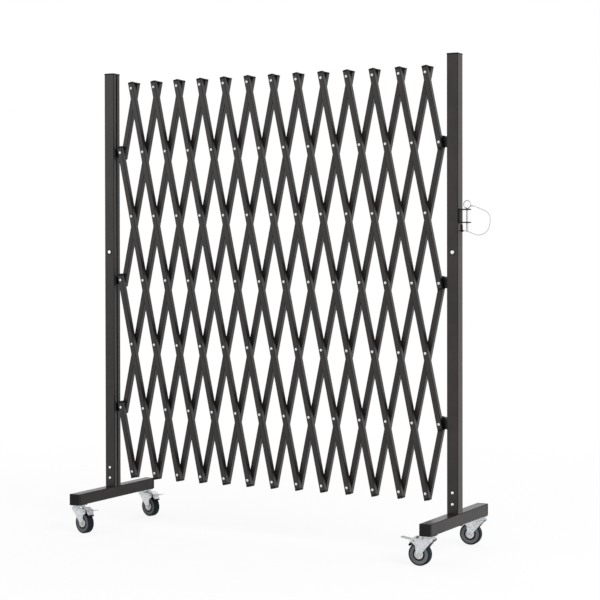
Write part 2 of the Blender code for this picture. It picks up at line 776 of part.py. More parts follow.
def pedal_cheek():
    """The pedal's side under its plate, down to the pivot's boss and the shoe."""
    seat = PEDAL_THICKNESS / 2
    foot = -PEDAL_BOSS_RADIUS - WELD
    return [
        (WELD - PEDAL_START_BACK, PEDAL_START_RISE - seat),
        (-PEDAL_CREST_BACK, PEDAL_CREST_RISE - seat),
        (PEDAL_CREST_LENGTH - PEDAL_CREST_BACK, PEDAL_CREST_RISE - seat),
        (PEDAL_DIP_AHEAD, PEDAL_DIP_RISE - seat),
        (PEDAL_DIP_AHEAD, PEDAL_DIP_RISE - CHEEK_DROP),
        (CHEEK_REACH, foot),
        (0, foot),
        (WELD - PEDAL_START_BACK, 0),
    ]


def shoe_outline():
    """The brake shoe's side outline about the pedal's pivot, as a band round the wheel's tread."""
    centre_x = TRAIL - PEDAL_PIVOT_OUT
    centre_z = AXLE_HEIGHT - PEDAL_PIVOT_HEIGHT
    inner = WHEEL_RADIUS + SHOE_GAP
    points = []
    for radius, order in ((inner, range(SHOE_STEPS + 1)), (inner + SHOE_THICKNESS, range(SHOE_STEPS, -1, -1))):
        for count in order:
            angle = SHOE_LOW_ANGLE + (SHOE_HIGH_ANGLE - SHOE_LOW_ANGLE) * count / SHOE_STEPS
            points.append((centre_x + radius * math.cos(angle), centre_z + radius * math.sin(angle)))
    return points


def brake_pedal():
    """A toe pedal about its pivot pin, with the shoe that it presses on the tread."""
    def cheek(work):
        half = PEDAL_HALF_WIDTH - WELD
        add_prism(work, pedal_cheek(), -half, half, "Y")

    def boss(work):
        half = PEDAL_HALF_WIDTH + WELD
        add_prism(work, polygon(PEDAL_BOSS_RADIUS, AXLE_SIDES), -half, half, "Y")

    def shoe(work):
        half = PEDAL_HALF_WIDTH - WELD * 2
        add_prism(work, shoe_outline(), -half, half, "Y")

    def bore(work):
        outline = polygon(hole_radius(PEDAL_PIN_RADIUS, AXLE_SIDES), AXLE_SIDES)
        add_prism(work, outline, -FORK_OUTER_HALF, FORK_OUTER_HALF, "Y")

    plate = solid(lambda work: add_prism(work, pedal_strip(), -PEDAL_HALF_WIDTH, PEDAL_HALF_WIDTH, "Y"))
    return cut(joined(plate, cheek, boss, shoe), bore)


def casters(side_name, side, parent):
    """Place the two casters under one beam."""
    for end_name, end in (("front", -1), ("back", 1)):
        corner = f"{end_name}_{side_name}"
        swivel = Vector((side * POST_X, end * SWIVEL_Y, 0)) - parent.location
        turn = pivot(f"caster_{corner}_pivot", swivel, parent, (0, 0, TRAIL_ANGLES[corner]))
        axle = (TRAIL, 0, AXLE_HEIGHT)
        toe = (PEDAL_PIVOT_OUT, 0, PEDAL_PIVOT_HEIGHT)
        place(f"caster_fork_{corner}", caster_fork(), ZINC, turn, (0, 0, 0), True)
        place(f"caster_wheel_{corner}", caster_wheel(), TYRE_GREY, turn, axle, True)
        place(f"brake_pedal_{corner}", brake_pedal(), ZINC, turn, toe, True)


def end_assembly(side_name, side):
    """One post with its cap, beam, middle bracket, sliders and casters, under the middle bracket's pivot."""
    column = 0 if side < 0 else COLUMNS
    centre = lattice_point(column, ROWS / 2)
    parent = pivot(f"{side_name}_end_pivot", centre)
    post_mesh = post(side)
    if side > 0:
        post_mesh = joined(post_mesh, lanyard_anchor)
    foot = Vector((side * POST_X, 0, POST_FOOT)) - centre
    place(f"post_{side_name}", post_mesh, POWDER_COAT, parent, foot)
    top = Vector((side * POST_X, 0, POST_TOP)) - centre
    place(f"post_cap_{side_name}", post_cap(), BLACK_PLASTIC, parent, top)
    middle = Vector((side * POST_X, 0, CASTER_HEIGHT + BEAM_SIDE / 2)) - centre
    place(f"base_beam_{side_name}", base_beam(), POWDER_COAT, parent, middle)
    place(f"bracket_{side_name}_middle", bracket(side), BRACKET_BLACK, parent)
    for level, row in (("upper", 1), ("lower", ROWS - 1)):
        turn = pivot(f"slider_{side_name}_{level}_pivot", lattice_point(column, row))
        place(f"slider_{side_name}_{level}", bracket(side), BRACKET_BLACK, turn)
    casters(side_name, side, parent)
    return parent


def latch(parent):
    """The keeper, pin and lanyard on the right post."""
    outer = POST_X + POST_HALF
    face = Vector((outer, 0, LATCH_HEIGHT)) - parent.location
    place("latch_keeper", latch_keeper(), BRACKET_BLACK, parent, face)
    slide = pivot("latch_pin_slide", Vector((outer + PIN_OFFSET, 0, LUG_TOP)) - parent.location, parent)
    place("latch_pin", latch_pin(), PIN_STEEL, slide, (0, 0, 0), True)
    lanyard(parent)


def centre_width():
    """Put the middle of the whole width at zero, as the latch makes the right end wider."""
    for thing in bpy.data.objects:
        if thing.parent is None:
            thing.location.x -= CENTRE_SHIFT


def build():
    """Build the whole barrier."""
    clear_scene()
    lattice()
    end_assembly("left", -1)
    latch(end_assembly("right", 1))
    centre_width()


build()
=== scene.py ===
"""The looks of an expandable safety barrier, dressed over its CAD frame."""
import json
import math

import bmesh
import bpy
from mathutils import Matrix, Vector


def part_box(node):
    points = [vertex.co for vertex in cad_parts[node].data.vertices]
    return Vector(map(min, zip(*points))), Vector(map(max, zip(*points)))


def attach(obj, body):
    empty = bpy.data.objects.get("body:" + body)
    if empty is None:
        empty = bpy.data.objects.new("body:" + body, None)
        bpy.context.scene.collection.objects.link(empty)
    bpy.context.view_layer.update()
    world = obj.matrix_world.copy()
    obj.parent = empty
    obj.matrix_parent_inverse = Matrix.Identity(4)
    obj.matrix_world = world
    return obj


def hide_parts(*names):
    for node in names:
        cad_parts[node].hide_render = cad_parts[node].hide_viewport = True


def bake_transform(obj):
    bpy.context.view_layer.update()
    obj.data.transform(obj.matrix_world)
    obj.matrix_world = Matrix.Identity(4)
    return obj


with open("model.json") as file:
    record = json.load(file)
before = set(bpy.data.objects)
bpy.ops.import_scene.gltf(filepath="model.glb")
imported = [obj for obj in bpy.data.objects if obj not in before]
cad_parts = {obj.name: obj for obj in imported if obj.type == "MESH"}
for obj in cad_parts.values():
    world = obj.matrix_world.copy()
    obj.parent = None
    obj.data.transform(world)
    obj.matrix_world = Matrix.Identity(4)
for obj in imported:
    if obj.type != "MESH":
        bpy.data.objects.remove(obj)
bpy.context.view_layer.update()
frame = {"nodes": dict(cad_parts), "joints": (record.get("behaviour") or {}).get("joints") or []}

# Camera
CAMERA_PLACE = (2.83025, -5.1125, 1.0341)
CAMERA_YAW = math.radians(28.257)
CAMERA_PITCH = math.radians(-0.699)
CAMERA_ROLL = math.radians(-0.094)
CAMERA_LENS = 99.81
CAMERA_SHIFT = -0.0579

# Floor and lights
FLOOR_REACH = 30.0
FLOOR_WHITE = 0.93
FLOOR_GLOW_NEAR = 0.86
FLOOR_FADE_START = 0.9
FLOOR_FADE_END = 3.2
ROOM_LIGHT = 0.62
LIGHT_AIM = (0, 0, 0.8)
LAMPS = (  # name, place, size, power
    ("key_lamp", (4.8, -2.0, 3.4), 3.2, 190),
    ("fill_lamp", (-3.6, -4.2, 2.6), 3.0, 30),
    ("back_lamp", (-1.6, 3.4, 5.4), 3.2, 60),
)

# The barrier's two ends, and the two ends of each beam
SIDES = (("left", -1), ("right", 1))
ENDS = ("front", "back")

# Fits between pieces, and the fine chamfers of small parts
SEAT = 0.0002
HAIR = 0.0001
FINE_EDGE = 0.0005
SLIM_EDGE = 0.0004

# Lattice
BAR_LEAN = math.radians(11.8)
PIVOT_PITCH = 0.240
BAR_WIDTH = 0.0195
BAR_DEPTH = 0.0185
BAR_OVERHANG = 0.0235
BAR_CORNER = 0.0011
BAR_CORNER_STEPS = 3
LAYER_FACE = 0.0025
PLUG_LENGTH = 0.0072
PLUG_PROUD = 0.0002
PLUG_EDGE = 0.0012
PLUG_END_SHARE = 0.84
STUD_SIDES = 14
STUD_RINGS = 2
RIVET_RADIUS = 0.0046
RIVET_HEIGHT = 0.0013
RIVET_DOME = 0.0014
RIVET_DARK_RIM_RADIUS = 0.0058
RIVET_DARK_RIM_HEIGHT = 0.0004
TAIL_RADIUS = 0.0042
TAIL_HEIGHT = 0.0010
TAIL_DOME = 0.0010
SPACER_RADIUS = 0.0068
BACK_FACE = LAYER_FACE + BAR_DEPTH
TO_FRONT = math.pi / 2
TO_BACK = -math.pi / 2
FRONT_STUDS = (  # part, face, turn, radius, height, dome, finish
    # A thin black ring just wider than each rivet head: a dark rim, partly a washer and partly painted shade
    # round the head
    ("rivet_dark_rims", -BACK_FACE, TO_FRONT, RIVET_DARK_RIM_RADIUS, RIVET_DARK_RIM_HEIGHT, 0.0, "black_plastic"),
    ("rivets", -BACK_FACE, TO_FRONT, RIVET_RADIUS, RIVET_HEIGHT, RIVET_DOME, "bright_heads"),
    ("spacers", -LAYER_FACE, TO_BACK, SPACER_RADIUS, LAYER_FACE * 2 - HAIR, 0.0, "black_plastic"),
)
BACK_STUDS = (("rivet_tails", BACK_FACE, TO_BACK, TAIL_RADIUS, TAIL_HEIGHT, TAIL_DOME, "zinc"),)

# Posts, their caps and bolts
POST_SIDE = 0.040
POST_WALL = 0.002
POST_SLOT = 0.007
POST_CORNER = 0.0013
CORNER_STEPS = 4
CAP_LIP = 0.0008
CAP_RIM = 0.0030
CAP_DOME = 0.0025
CAP_SPIGOT = 0.012
SPIGOT_HALF = POST_SIDE / 2 - POST_WALL - SEAT
DOME_STEPS = 5
BOLT_HEIGHT = 0.0016
BOLT_DOME = 0.0012
BOLT_RING_HEIGHT = 0.0010
POST_BOLTS = (  # level, radius, ring radius, heights
    ("middle", 0.0066, 0.0104, (1.009,)),
    ("foot", 0.0048, 0.0062, (0.172, 0.2105)),
)

# Beams
BEAM_SIDE = 0.040
BEAM_LENGTH = 0.493
BEAM_CORNER = 0.0013
BEAM_CAP = 0.0115
BEAM_CAP_EDGE = 0.0012
CASTER_HEIGHT = 0.100
SPIGOT_LENGTH = 0.100
PLATE_SIDE = 0.046
PLATE_THICKNESS = 0.003
PLATE_CORNER = 0.005
PLATE_SCREW_RADIUS = 0.0030
PLATE_SCREW_INSET = 0.0065
PLATE_SCREW_RIM = 0.0008
PLATE_SCREW_CROWN = 0.0014

# Brackets and sliders
BLOCK_THICKNESS = 0.006
BLOCK_WIDTH = 0.038
BLOCK_HEIGHT = 0.032
BLOCK_CORNER = 0.002
LUG_HEIGHT = 0.034
LUG_END = 0.012
LUG_HALF = 0.0022
LUG_CORNER = 0.007
NECK_HEIGHT = 0.024
NECK_CORNER = 0.001
RETAINER_WIDTH = 0.026
RETAINER_HEIGHT = 0.028
RETAINER_THICKNESS = 0.003
RETAINER_CORNER = 0.0015
BRACKET_EDGE = 0.0007

# Latch
LATCH_HEIGHT = 1.1295
LUG_SPACING = 0.043
KEEPER_WIDTH = 0.026
KEEPER_BASE = 0.003
KEEPER_LUG = 0.004
KEEPER_REACH = 0.0368
KEEPER_MARGIN = 0.0010
KEEPER_CORNER = 0.008
KEEPER_EDGE = 0.0006
PIN_OFFSET = 0.0245
PIN_RADIUS = 0.0033
PIN_LENGTH = 0.078
PIN_TIP = 0.0022
COLLAR_RADIUS = 0.0055
COLLAR_HEIGHT = 0.0025
RING_RADIUS = 0.0125
RING_WIRE = 0.0015
RING_STEPS = 48
WIRE_SIDES = 12
RING_CENTRE_HEIGHT = 1.1678
FERRULE_RADIUS = 0.0022
FERRULE_START = 0.011
FERRULE_END = 0.020
FERRULE_DROP = 0.0053
ANCHOR_RADIUS = 0.0032
ANCHOR_LENGTH = 0.006
ANCHOR_BACK = 0.0120
ANCHOR_DROP = 0.0878
ANCHOR_PLATE_WIDTH = 0.009
ANCHOR_PLATE_HEIGHT = 0.024
ANCHOR_PLATE_THICKNESS = 0.0026
ANCHOR_PLATE_RISE = 0.0095
ROUND_SIDES = 24

# Lanyard: its route between the ring's ferrule and the post's anchor, round behind the pin, as distances out
# from the post's outer face, back from the middle plane, and up from the ring's centre
LANYARD_GAP = 0.0003
LANYARD_DIAMETER = 0.0024
LANYARD_LAY = 0.006
LANYARD_STRANDS = 6
LANYARD_ROUTE = (
    (0.0580, 0.0000, -0.0096), (0.0740, 0.0000, -0.0159), (0.0900, 0.0000, -0.0230),
    (0.1005, 0.0000, -0.0318), (0.1058, 0.0000, -0.0448), (0.1058, 0.0000, -0.0598),
    (0.1010, 0.0010, -0.0778), (0.0910, 0.0030, -0.0918), (0.0770, 0.0050, -0.0993),
    (0.0620, 0.0070, -0.1020), (0.0470, 0.0090, -0.0990), (0.0320, 0.0105, -0.0933),
    (0.0200, 0.0115, -0.0893), (0.0120, 0.0120, -0.0878),
)

# Casters, out from the swivel axis and up from the floor
TRAIL = 0.030
KING_PIN_RADIUS = 0.005
KING_PIN_TOP = 0.1073
KING_NUT_RADIUS = 0.008
KING_NUT_FOOT = 0.1023
KING_NUT_HEIGHT = 0.004
WHEEL_RADIUS = 0.0375
WHEEL_STEPS = 56
TYRE_HALF = 0.0123
TYRE_SHOULDER = 0.0032
TYRE_SIDE_RADIUS = 0.0325
TYRE_INNER_RADIUS = 0.0285
WHEEL_RING_RADIUS = 0.0210
WHEEL_RING_DEPTH = 0.0014
HUB_RADIUS = 0.0146
HUB_RIM = 0.0016
HUB_HALF = 0.0144
HUB_DISH = 0.0012
HUB_BORE = 0.0046
HUB_BOSS_RADIUS = 0.0071
HUB_BOSS_FOOT = 0.0086
HUB_RIM_EDGE = 0.0003
AXLE_RADIUS = 0.004
AXLE_NUT_RADIUS = 0.0065
AXLE_NUT_HEIGHT = 0.003
AXLE_NUT_SIDES = 6
AXLE_NUT_EDGE = 0.0006
AXLE_NUT_END_RADIUS = 0.00546
AXLE_WASHER_RADIUS = 0.0073
AXLE_DIMPLE_RADIUS = 0.0026
AXLE_DIMPLE_END_RADIUS = 0.00208
FORK_INNER_HALF = 0.0155
LEG_THICKNESS = 0.0025
LEG_EDGE = 0.0007
CROWN_THICKNESS = 0.0027
CROWN_TOP = 0.0905
CROWN_FRONT = 0.021
CROWN_REAR = 0.034
HOUSING_RADIUS = 0.0213
HOUSING_GROOVE = 0.0014
GROOVE_MOUTH = 0.0008
LEG_FRONT_DROP = 0.0075
LEG_TAPER_DROP = 0.014
LEG_TAPER_INSET = 0.009
LEG_FOOT_WIDTH = 0.017
LEG_FOOT_DROP = 0.009
LEG_FOOT_CORNER = 0.005
LEG_EAR = 0.0068
LEG_WAIST_OUT = 0.0405
LEG_WAIST_HEIGHT = 0.0660
RIB_HEIGHT = 0.0008
RIB_EDGE = 0.00064
RIB_CORNER = 0.002
RIB_OUTLINE = (
    (-0.0125, 0.0845), (-0.0075, 0.0785), (0.0205, 0.0480), (0.0345, 0.0480),
    (0.0360, 0.0680), (0.0420, 0.0740), (0.0370, 0.0845),
)
PEDAL_PIVOT_OUT = 0.046
PEDAL_PIVOT_HEIGHT = 0.081
PEDAL_RIVET_RADIUS = 0.0030
PEDAL_RIVET_HEIGHT = 0.0006
PEDAL_RIVET_END_RADIUS = 0.0021
PEDAL_HALF_WIDTH = 0.0123
PEDAL_THICKNESS = 0.0024
PEDAL_ROUND = 0.00072
PEDAL_ROUND_STEPS = 2
PEDAL_CURVE = (
    (0.0377, 0.0899), (0.0410, 0.0936), (0.0460, 0.0938),
    (0.0530, 0.0902), (0.0610, 0.0858), (0.0690, 0.0857),
    (0.0780, 0.0867), (0.0880, 0.0882), (0.0955, 0.0899),
)
PEDAL_STEP = 0.0016
PEDAL_TOE_LENGTH = 0.010
PEDAL_TOE_SHARE = 0.62
CHEEK_THICKNESS = 0.002
CHEEK_FOOT = 0.0055
CHEEK_RIM = 0.0006
CHEEK_HEEL = 0.001
CHEEK_ANGLES = (40, 46, 52, 58, 63)
SHOE_GAP = 0.0036
SHOE_THICKNESS = 0.006
SHOE_LOW_ANGLE = 36
SHOE_HIGH_ANGLE = 65
SHOE_STEPS = 10
SHOE_EDGE = 0.0008

# A face narrower than this is an edge's rounding, which the finishes tone as an edge, and the bars' sides
# get painted shade, a share of an edge's tone, standing in for the shade between neighbouring bars
EDGE_FACE_WIDTH = 0.0016
BAR_SIDE_PAINTED_SHADE = 0.8
FLAT_TO_SIDE = 0.5
SHADE_ANGLE = math.radians(42)

# Steps of a route between its points, the sharpest corner that an inset follows in full, and how squarely a
# face looks along its bar to be an end
ROUTE_STEPS = 24
SHARPEST_INSET = 0.4
END_FACING = 0.9

# Finishes: spreads are what the grain takes from a roughness and adds to it
GRAIN_ROUGHNESS = 0.6
MOTTLE_SCALE = 14.0
MOTTLE_DETAIL = 4
MOTTLE_RANGE = (0.35, 0.65)
EDGE_DETAIL = 3
EDGE_RANGE = (0.25, 0.6)
EDGE_LEAST = 0.55
COAT_EDGE_SCALE = 160.0
COAT_GRAIN_DETAIL = 3.0
COAT_SPREAD = (-0.08, 0.10)
COAT_RELIEF = 0.35
METAL_EDGE_AMOUNT = 0.8
METAL_EDGE_SCALE = 220.0
METAL_SPREAD = (-0.10, 0.14)
METAL_RELIEF = 0.15
SCUFF_SCALE = 420.0
SCUFF_DETAIL = 4.0
SCUFF_DEPTH = 0.00008
GROOVE_PAINTED_SHADE = 0.26
STRAND_GREY = 0.60
STRAND_ROUGHNESS = (0.50, 0.32)
STRAND_RELIEF = 0.5
STRAND_DEPTH = 0.00015

# Coats: slot, name, colour, second and edge colour, edge amount, specular, roughness, grain scale and depth.
# A colour is a grey's level, or the level and the shares of red and blue added to it
# An edge colour darker than the colour is painted shade along the edges' roundings, standing in for dark
# reflections there
COATS = {
    "powder_coat": (
        "powder_coat", "powder_coat_charcoal", (0.007, 0.35, -0.15), (0.013, 0.35, -0.15),
        0.002, 1.0, 0.44, 0.36, 1500, 0.00008,
    ),
    "beam_coat": (
        "powder_coat", "powder_coat_satin_black", (0.006, 0.40, -0.05), (0.010, 0.40, -0.05),
        0.002, 1.0, 0.20, 0.26, 1500, 0.00006,
    ),
    # A near-black, barely reflective coat for the edge roundings: a painted dark outline, standing in for
    # shade and dark reflections at the edges
    "coat_edge": (
        "powder_coat", "powder_coat_painted_dark_outline", 0.003, 0.006, 0.004, 0.5, 0.02, 0.60, 1500, 0.00010,
    ),
    "black_plastic": (
        "black_plastic", "black_moulded_plastic", 0.004, 0.007, 0.012, 0.5, 0.16, 0.42, 900, 0.00012,
    ),
    "black_bracket": (
        "black_bracket", "black_bracket_paint", 0.006, 0.010, 0.020, 0.6, 0.16, 0.42, 700, 0.00010,
    ),
    "hub": ("zinc_plate", "silver_hub_paint", 0.42, 0.50, 0.80, 0.9, 0.4, 0.36, 600, 0.00006),
    "hub_rim": ("zinc_plate", "white_hub_rim", 0.76, 0.82, 0.86, 0.4, 0.4, 0.40, 600, 0.00006),
    "tyre_side": (
        "grey_tyre", "grey_tyre_side", (0.100, -0.05, 0.02), (0.150, -0.05, 0.02),
        0.02, 0.7, 0.16, 0.62, 500, 0.00015,
    ),
    "tyre_tread": (
        "grey_tyre", "dark_tyre_tread", (0.012, -0.5, 0.2), (0.022, -0.5, 0.2),
        0.010, 0.5, 0.08, 0.60, 420, 0.00020,
    ),
    "wheel_ring": ("grey_tyre", "dark_wheel_ring", 0.008, 0.014, 0.02, 0.5, 0.12, 0.58, 500, 0.00012),
    "shoe": ("black_plastic", "black_brake_rubber", 0.006, 0.010, 0.02, 0.5, 0.12, 0.60, 420, 0.00018),
}
# Metals: slot, name, dull, bright and edge colour, roughness, spangle scale
# A darker edge colour, as on zinc and the rivet heads, is painted shade along the edges' roundings, standing
# in for dark reflections there
METALS = {
    "zinc": ("zinc_plate", "bright_zinc_plate", (0.50, -0.03, 0.02), (0.80, -0.03, 0.02), 0.30, 0.34, 420),
    "bright_heads": ("zinc_plate", "bright_rivet_heads", 0.80, 0.92, 0.60, 0.36, 700),
    "steel": ("pin_steel", "drawn_pin_steel", 0.30, 0.42, 0.50, 0.34, 900),
    "dark_steel": ("pin_steel", "dark_rivet_steel", 0.12, 0.17, 0.22, 0.40, 800),
}


# Camera and lanyard

def in_scene(name, data):
    """A new object in the scene."""
    made = bpy.data.objects.new(name, data)
    bpy.context.scene.collection.objects.link(made)
    return made


def look_at_barrier():
    """The photograph's camera, level with the lattice and a little to its right."""
    lens = bpy.data.cameras.new("camera")
    lens.lens = CAMERA_LENS
    lens.shift_y = CAMERA_SHIFT
    camera = in_scene("camera", lens)
    aim = Matrix.Rotation(CAMERA_YAW, 4, "Z") @ Matrix.Rotation(math.pi / 2 + CAMERA_PITCH, 4, "X")
    camera.matrix_world = Matrix.Translation(CAMERA_PLACE) @ aim @ Matrix.Rotation(CAMERA_ROLL, 4, "Z")
    bpy.context.scene.camera = camera


def smooth_route(points, step):
    """Points at an even step along a smooth curve through the given points."""
    padded = [points[0] * 2 - points[1], *points, points[-1] * 2 - points[-2]]
    dense = []
    for a, b, c, d in zip(padded, padded[1:], padded[2:], padded[3:]):
        for count in range(ROUTE_STEPS):
            t = count / ROUTE_STEPS
            bend = (a * 2 - b * 5 + c * 4 - d) * t * t + (b * 3 - a - c * 3 + d) * t * t * t
            dense.append((b * 2 + (c - a) * t + bend) / 2)
    dense.append(points[-1])
    travel = [0.0]
    for first, second in zip(dense, dense[1:]):
        travel.append(travel[-1] + (second - first).length)
    pieces = round(travel[-1] / step)
    even = []
    index = 0
    for count in range(pieces + 1):
        target = travel[-1] * count / pieces
        while index < len(travel) - 2 and travel[index + 1] < target:
            index += 1
        share = (target - travel[index]) / (travel[index + 1] - travel[index])
        even.append(dense[index].lerp(dense[index + 1], share))
    return even


def heading(points, index):
    """The way a route runs at one of its points."""
    return (points[min(index + 1, len(points) - 1)] - points[max(index - 1, 0)]).normalized()


def join(work, near, far):
    """The faces between two rings of corners."""
    made = []
    for first in range(len(near)):
        second = (first + 1) % len(near)
        made.append(work.faces.new((near[first], near[second], far[second], far[first])))
    return made


def outward_mesh(work, name):
    """The mesh of a closed surface, facing outwards."""
    bmesh.ops.recalc_face_normals(work, faces=work.faces)
    mesh = bpy.data.meshes.new(name)
    work.to_mesh(mesh)
    work.free()
    return mesh


def cable_mesh(name, points, radius, sides):
    """A closed round cable along points, with a UV map of length along and share round."""
    work = bmesh.new()
    unwrap = work.loops.layers.uv.new("strand")
    side = Vector((0, 1, 0))
    rings = []
    for index, point in enumerate(points):
        ahead = heading(points, index)
        side = (side - ahead * side.dot(ahead)).normalized()
        over = ahead.cross(side)
        rings.append([work.verts.new(point + (side * a + over * b) * radius) for a, b in circle(1, sides)])
    travel = 0.0
    for index, (near, far) in enumerate(zip(rings, rings[1:])):
        length = (points[index + 1] - points[index]).length
        for first, face in enumerate(join(work, near, far)):
            places = ((first, 0), (first + 1, 0), (first + 1, 1), (first, 1))
            for loop, (around, along) in zip(face.loops, places):
                loop[unwrap].uv = (travel + length * along, around / sides)
        travel += length
    work.faces.new(rings[0])
    work.faces.new(rings[-1])
    mesh = outward_mesh(work, name)
    mesh.shade_smooth()
    return mesh


def hang_lanyard(finish):
    """The wire lanyard, free between the pull ring's ferrule and the post's anchor."""
    origin = Vector((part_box("post_right")[0].x + POST_SIDE, 0, RING_CENTRE_HEIGHT))
    start = (PIN_OFFSET + FERRULE_END + LANYARD_GAP, 0, -FERRULE_DROP)
    end = (ANCHOR_LENGTH + LANYARD_GAP, ANCHOR_BACK, -ANCHOR_DROP)
    route = [origin + Vector(point) for point in (start, *LANYARD_ROUTE, end)]
    points = smooth_route(route, LANYARD_DIAMETER)
    mesh = cable_mesh("latch_lanyard_wire", points, LANYARD_DIAMETER / 2, WIRE_SIDES)
    mesh.materials.append(finish)
    wire = in_scene("latch_lanyard_wire", mesh)
    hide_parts("latch_lanyard")
    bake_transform(wire)


# Node building

# A tree's socket goes by the last word of its name, and is a plain number if that isn't here
SOCKET_TYPES = {
    "Colour": "NodeSocketColor",
    "Material": "NodeSocketMaterial",
    "Geometry": "NodeSocketGeometry",
    "Count": "NodeSocketInt",
    "Steps": "NodeSocketInt",
    "Sides": "NodeSocketInt",
    "Rings": "NodeSocketInt",
}


def new_tree(name, kind, inputs, output, build):
    """A node tree with named sockets, filled by a function that gives what it puts out."""
    tree = bpy.data.node_groups.new(name, kind)
    for label, way in [(label, "INPUT") for label in inputs] + [(output, "OUTPUT")]:
        socket = SOCKET_TYPES.get(label.split()[-1], "NodeSocketFloat")
        tree.interface.new_socket(name=label, in_out=way, socket_type=socket)
    given = tree.nodes.new("NodeGroupInput").outputs
    out = tree.nodes.new("NodeGroupOutput").inputs
    tree.links.new(build(tree, given), out[output])
    return tree


def add_node(tree, kind, values=None, **settings):
    """Add a node; values are sockets to link or plain values, by the input's name or number."""
    made = tree.nodes.new(kind)
    for key, value in settings.items():
        setattr(made, key, value)
    for key, value in (values or {}).items():
        if isinstance(value, bpy.types.NodeSocket):
            tree.links.new(value, made.inputs[key])
        else:
            made.inputs[key].default_value = value
    return made


def result(tree, kind, values=None, port=0, **settings):
    """One output of an added node."""
    return add_node(tree, kind, values, **settings).outputs[port]


def maths(tree, operation, *terms, **settings):
    """The result of a sum on one or two terms."""
    return result(tree, "ShaderNodeMath", dict(enumerate(terms)), operation=operation, **settings)


def vector(tree, **axes):
    """A vector with the given axes, and nought for the others."""
    return result(tree, "ShaderNodeCombineXYZ", axes)


def remap(tree, value, from_min, from_max, to_min=0.0, to_max=1.0):
    """A value taken from one range to another."""
    limits = {"From Min": from_min, "From Max": from_max, "To Min": to_min, "To Max": to_max}
    return result(tree, "ShaderNodeMapRange", {"Value": value, **limits})


def mix_colours(tree, share, first, second):
    """Two colours mixed by a share."""
    return result(tree, "ShaderNodeMix", {"Factor": share, 6: first, 7: second}, 2, data_type="RGBA")


def noise(tree, scale, detail, roughness=0.5):
    """Noise that stays in its place on a piece."""
    place = result(tree, "ShaderNodeTexCoord", port="Object")
    values = {"Vector": place, "Scale": scale, "Detail": detail, "Roughness": roughness}
    return result(tree, "ShaderNodeTexNoise", values, "Fac")


# Effects that several finishes share

def grain(tree, given):
    """Fine even grain, such as orange peel or moulded texture."""
    return noise(tree, given["Scale"], given["Detail"], GRAIN_ROUGHNESS)


def mottle(tree, given):
    """Slow changes of tone over a piece, between two colours."""
    share = remap(tree, noise(tree, given["Scale"], MOTTLE_DETAIL), *MOTTLE_RANGE)
    return mix_colours(tree, share, given["Colour"], given["Second Colour"])


def edge_tone_and_painted_shade(tree, given):
    """Tone along the roundings of a piece's edges, broken up by noise; where the edge colour is darker, it
    is painted shade along the edges.
    """
    edge = result(tree, "ShaderNodeAttribute", port="Fac", attribute_name="edge")
    share = remap(tree, noise(tree, given["Scale"], EDGE_DETAIL), *EDGE_RANGE, EDGE_LEAST)
    mask = maths(tree, "MULTIPLY", maths(tree, "MULTIPLY", edge, share), given["Amount"])
    return mix_colours(tree, mask, given["Colour"], given["Edge Colour"])


def spangle(tree, given):
    """The patchy crystals of zinc plate, as a share from dull to bright."""
    place = result(tree, "ShaderNodeTexCoord", port="Object")
    values = {"Vector": place, "Scale": given["Scale"], "Randomness": 1}
    cells = result(tree, "ShaderNodeTexVoronoi", values, "Color")
    return result(tree, "ShaderNodeSeparateColor", {"Color": cells})


EFFECTS = {
    "grain": new_tree("fine_grain", "ShaderNodeTree", ("Scale", "Detail"), "Height", grain),
    "mottle": new_tree(
        "slow_mottle", "ShaderNodeTree", ("Scale", "Colour", "Second Colour"), "Colour", mottle,
    ),
    "edge": new_tree(
        "edge_tone_and_painted_shade", "ShaderNodeTree", ("Colour", "Edge Colour", "Amount", "Scale"), "Colour", edge_tone_and_painted_shade,
    ),
    "spangle": new_tree("zinc_spangle", "ShaderNodeTree", ("Scale",), "Share", spangle),
}


def use_effect(tree, effect, values):
    """What a shared effect puts out in a finish."""
    return result(tree, "ShaderNodeGroup", values, node_tree=EFFECTS[effect])


def tint(colour):
    """A grey by its level, or by its level and the shares of red and blue added to it."""
    level, red, blue = colour if isinstance(colour, tuple) else (colour, 0.0, 0.0)
    return (level * (1 + red), level, level * (1 + blue), 1)


def open_finish(name, metallic, specular=0.5):
    """A new material with its shader, and the shader's plain values set on its own sockets."""
    finish = bpy.data.materials.new(name)
    finish.use_nodes = True
    shader = finish.node_tree.nodes["Principled BSDF"]
    shader.inputs["Metallic"].default_value = metallic
    shader.inputs["Specular IOR Level"].default_value = specular
    return finish, finish.node_tree, shader


def dress_shader(tree, shader, colour, height, roughness, strength, distance):
    """Give a shader its colour, and a height that sets its roughness and its relief."""
    tree.links.new(colour, shader.inputs["Base Color"])
    tree.links.new(remap(tree, height, 0.0, 1.0, *roughness), shader.inputs["Roughness"])
    relief = {"Height": height, "Strength": strength, "Distance": distance}
    tree.links.new(result(tree, "ShaderNodeBump", relief), shader.inputs["Normal"])


def coated(name, colour, second, edge, edge_amount, specular, roughness, grain_scale, grain_depth):
    """A powder coat, paint or moulded plastic: mottled colour, toned edges and fine grain."""
    finish, tree, shader = open_finish(name, 0.0, specular)
    mottled = use_effect(tree, "mottle", {
        "Scale": MOTTLE_SCALE, "Colour": tint(colour), "Second Colour": tint(second),
    })
    toned = use_effect(tree, "edge", {
        "Colour": mottled, "Edge Colour": tint(edge), "Amount": edge_amount, "Scale": COAT_EDGE_SCALE,
    })
    height = use_effect(tree, "grain", {"Scale": grain_scale, "Detail": COAT_GRAIN_DETAIL})
    spread = (roughness + COAT_SPREAD[0], roughness + COAT_SPREAD[1])
    dress_shader(tree, shader, toned, height, spread, COAT_RELIEF, grain_depth)
    return finish


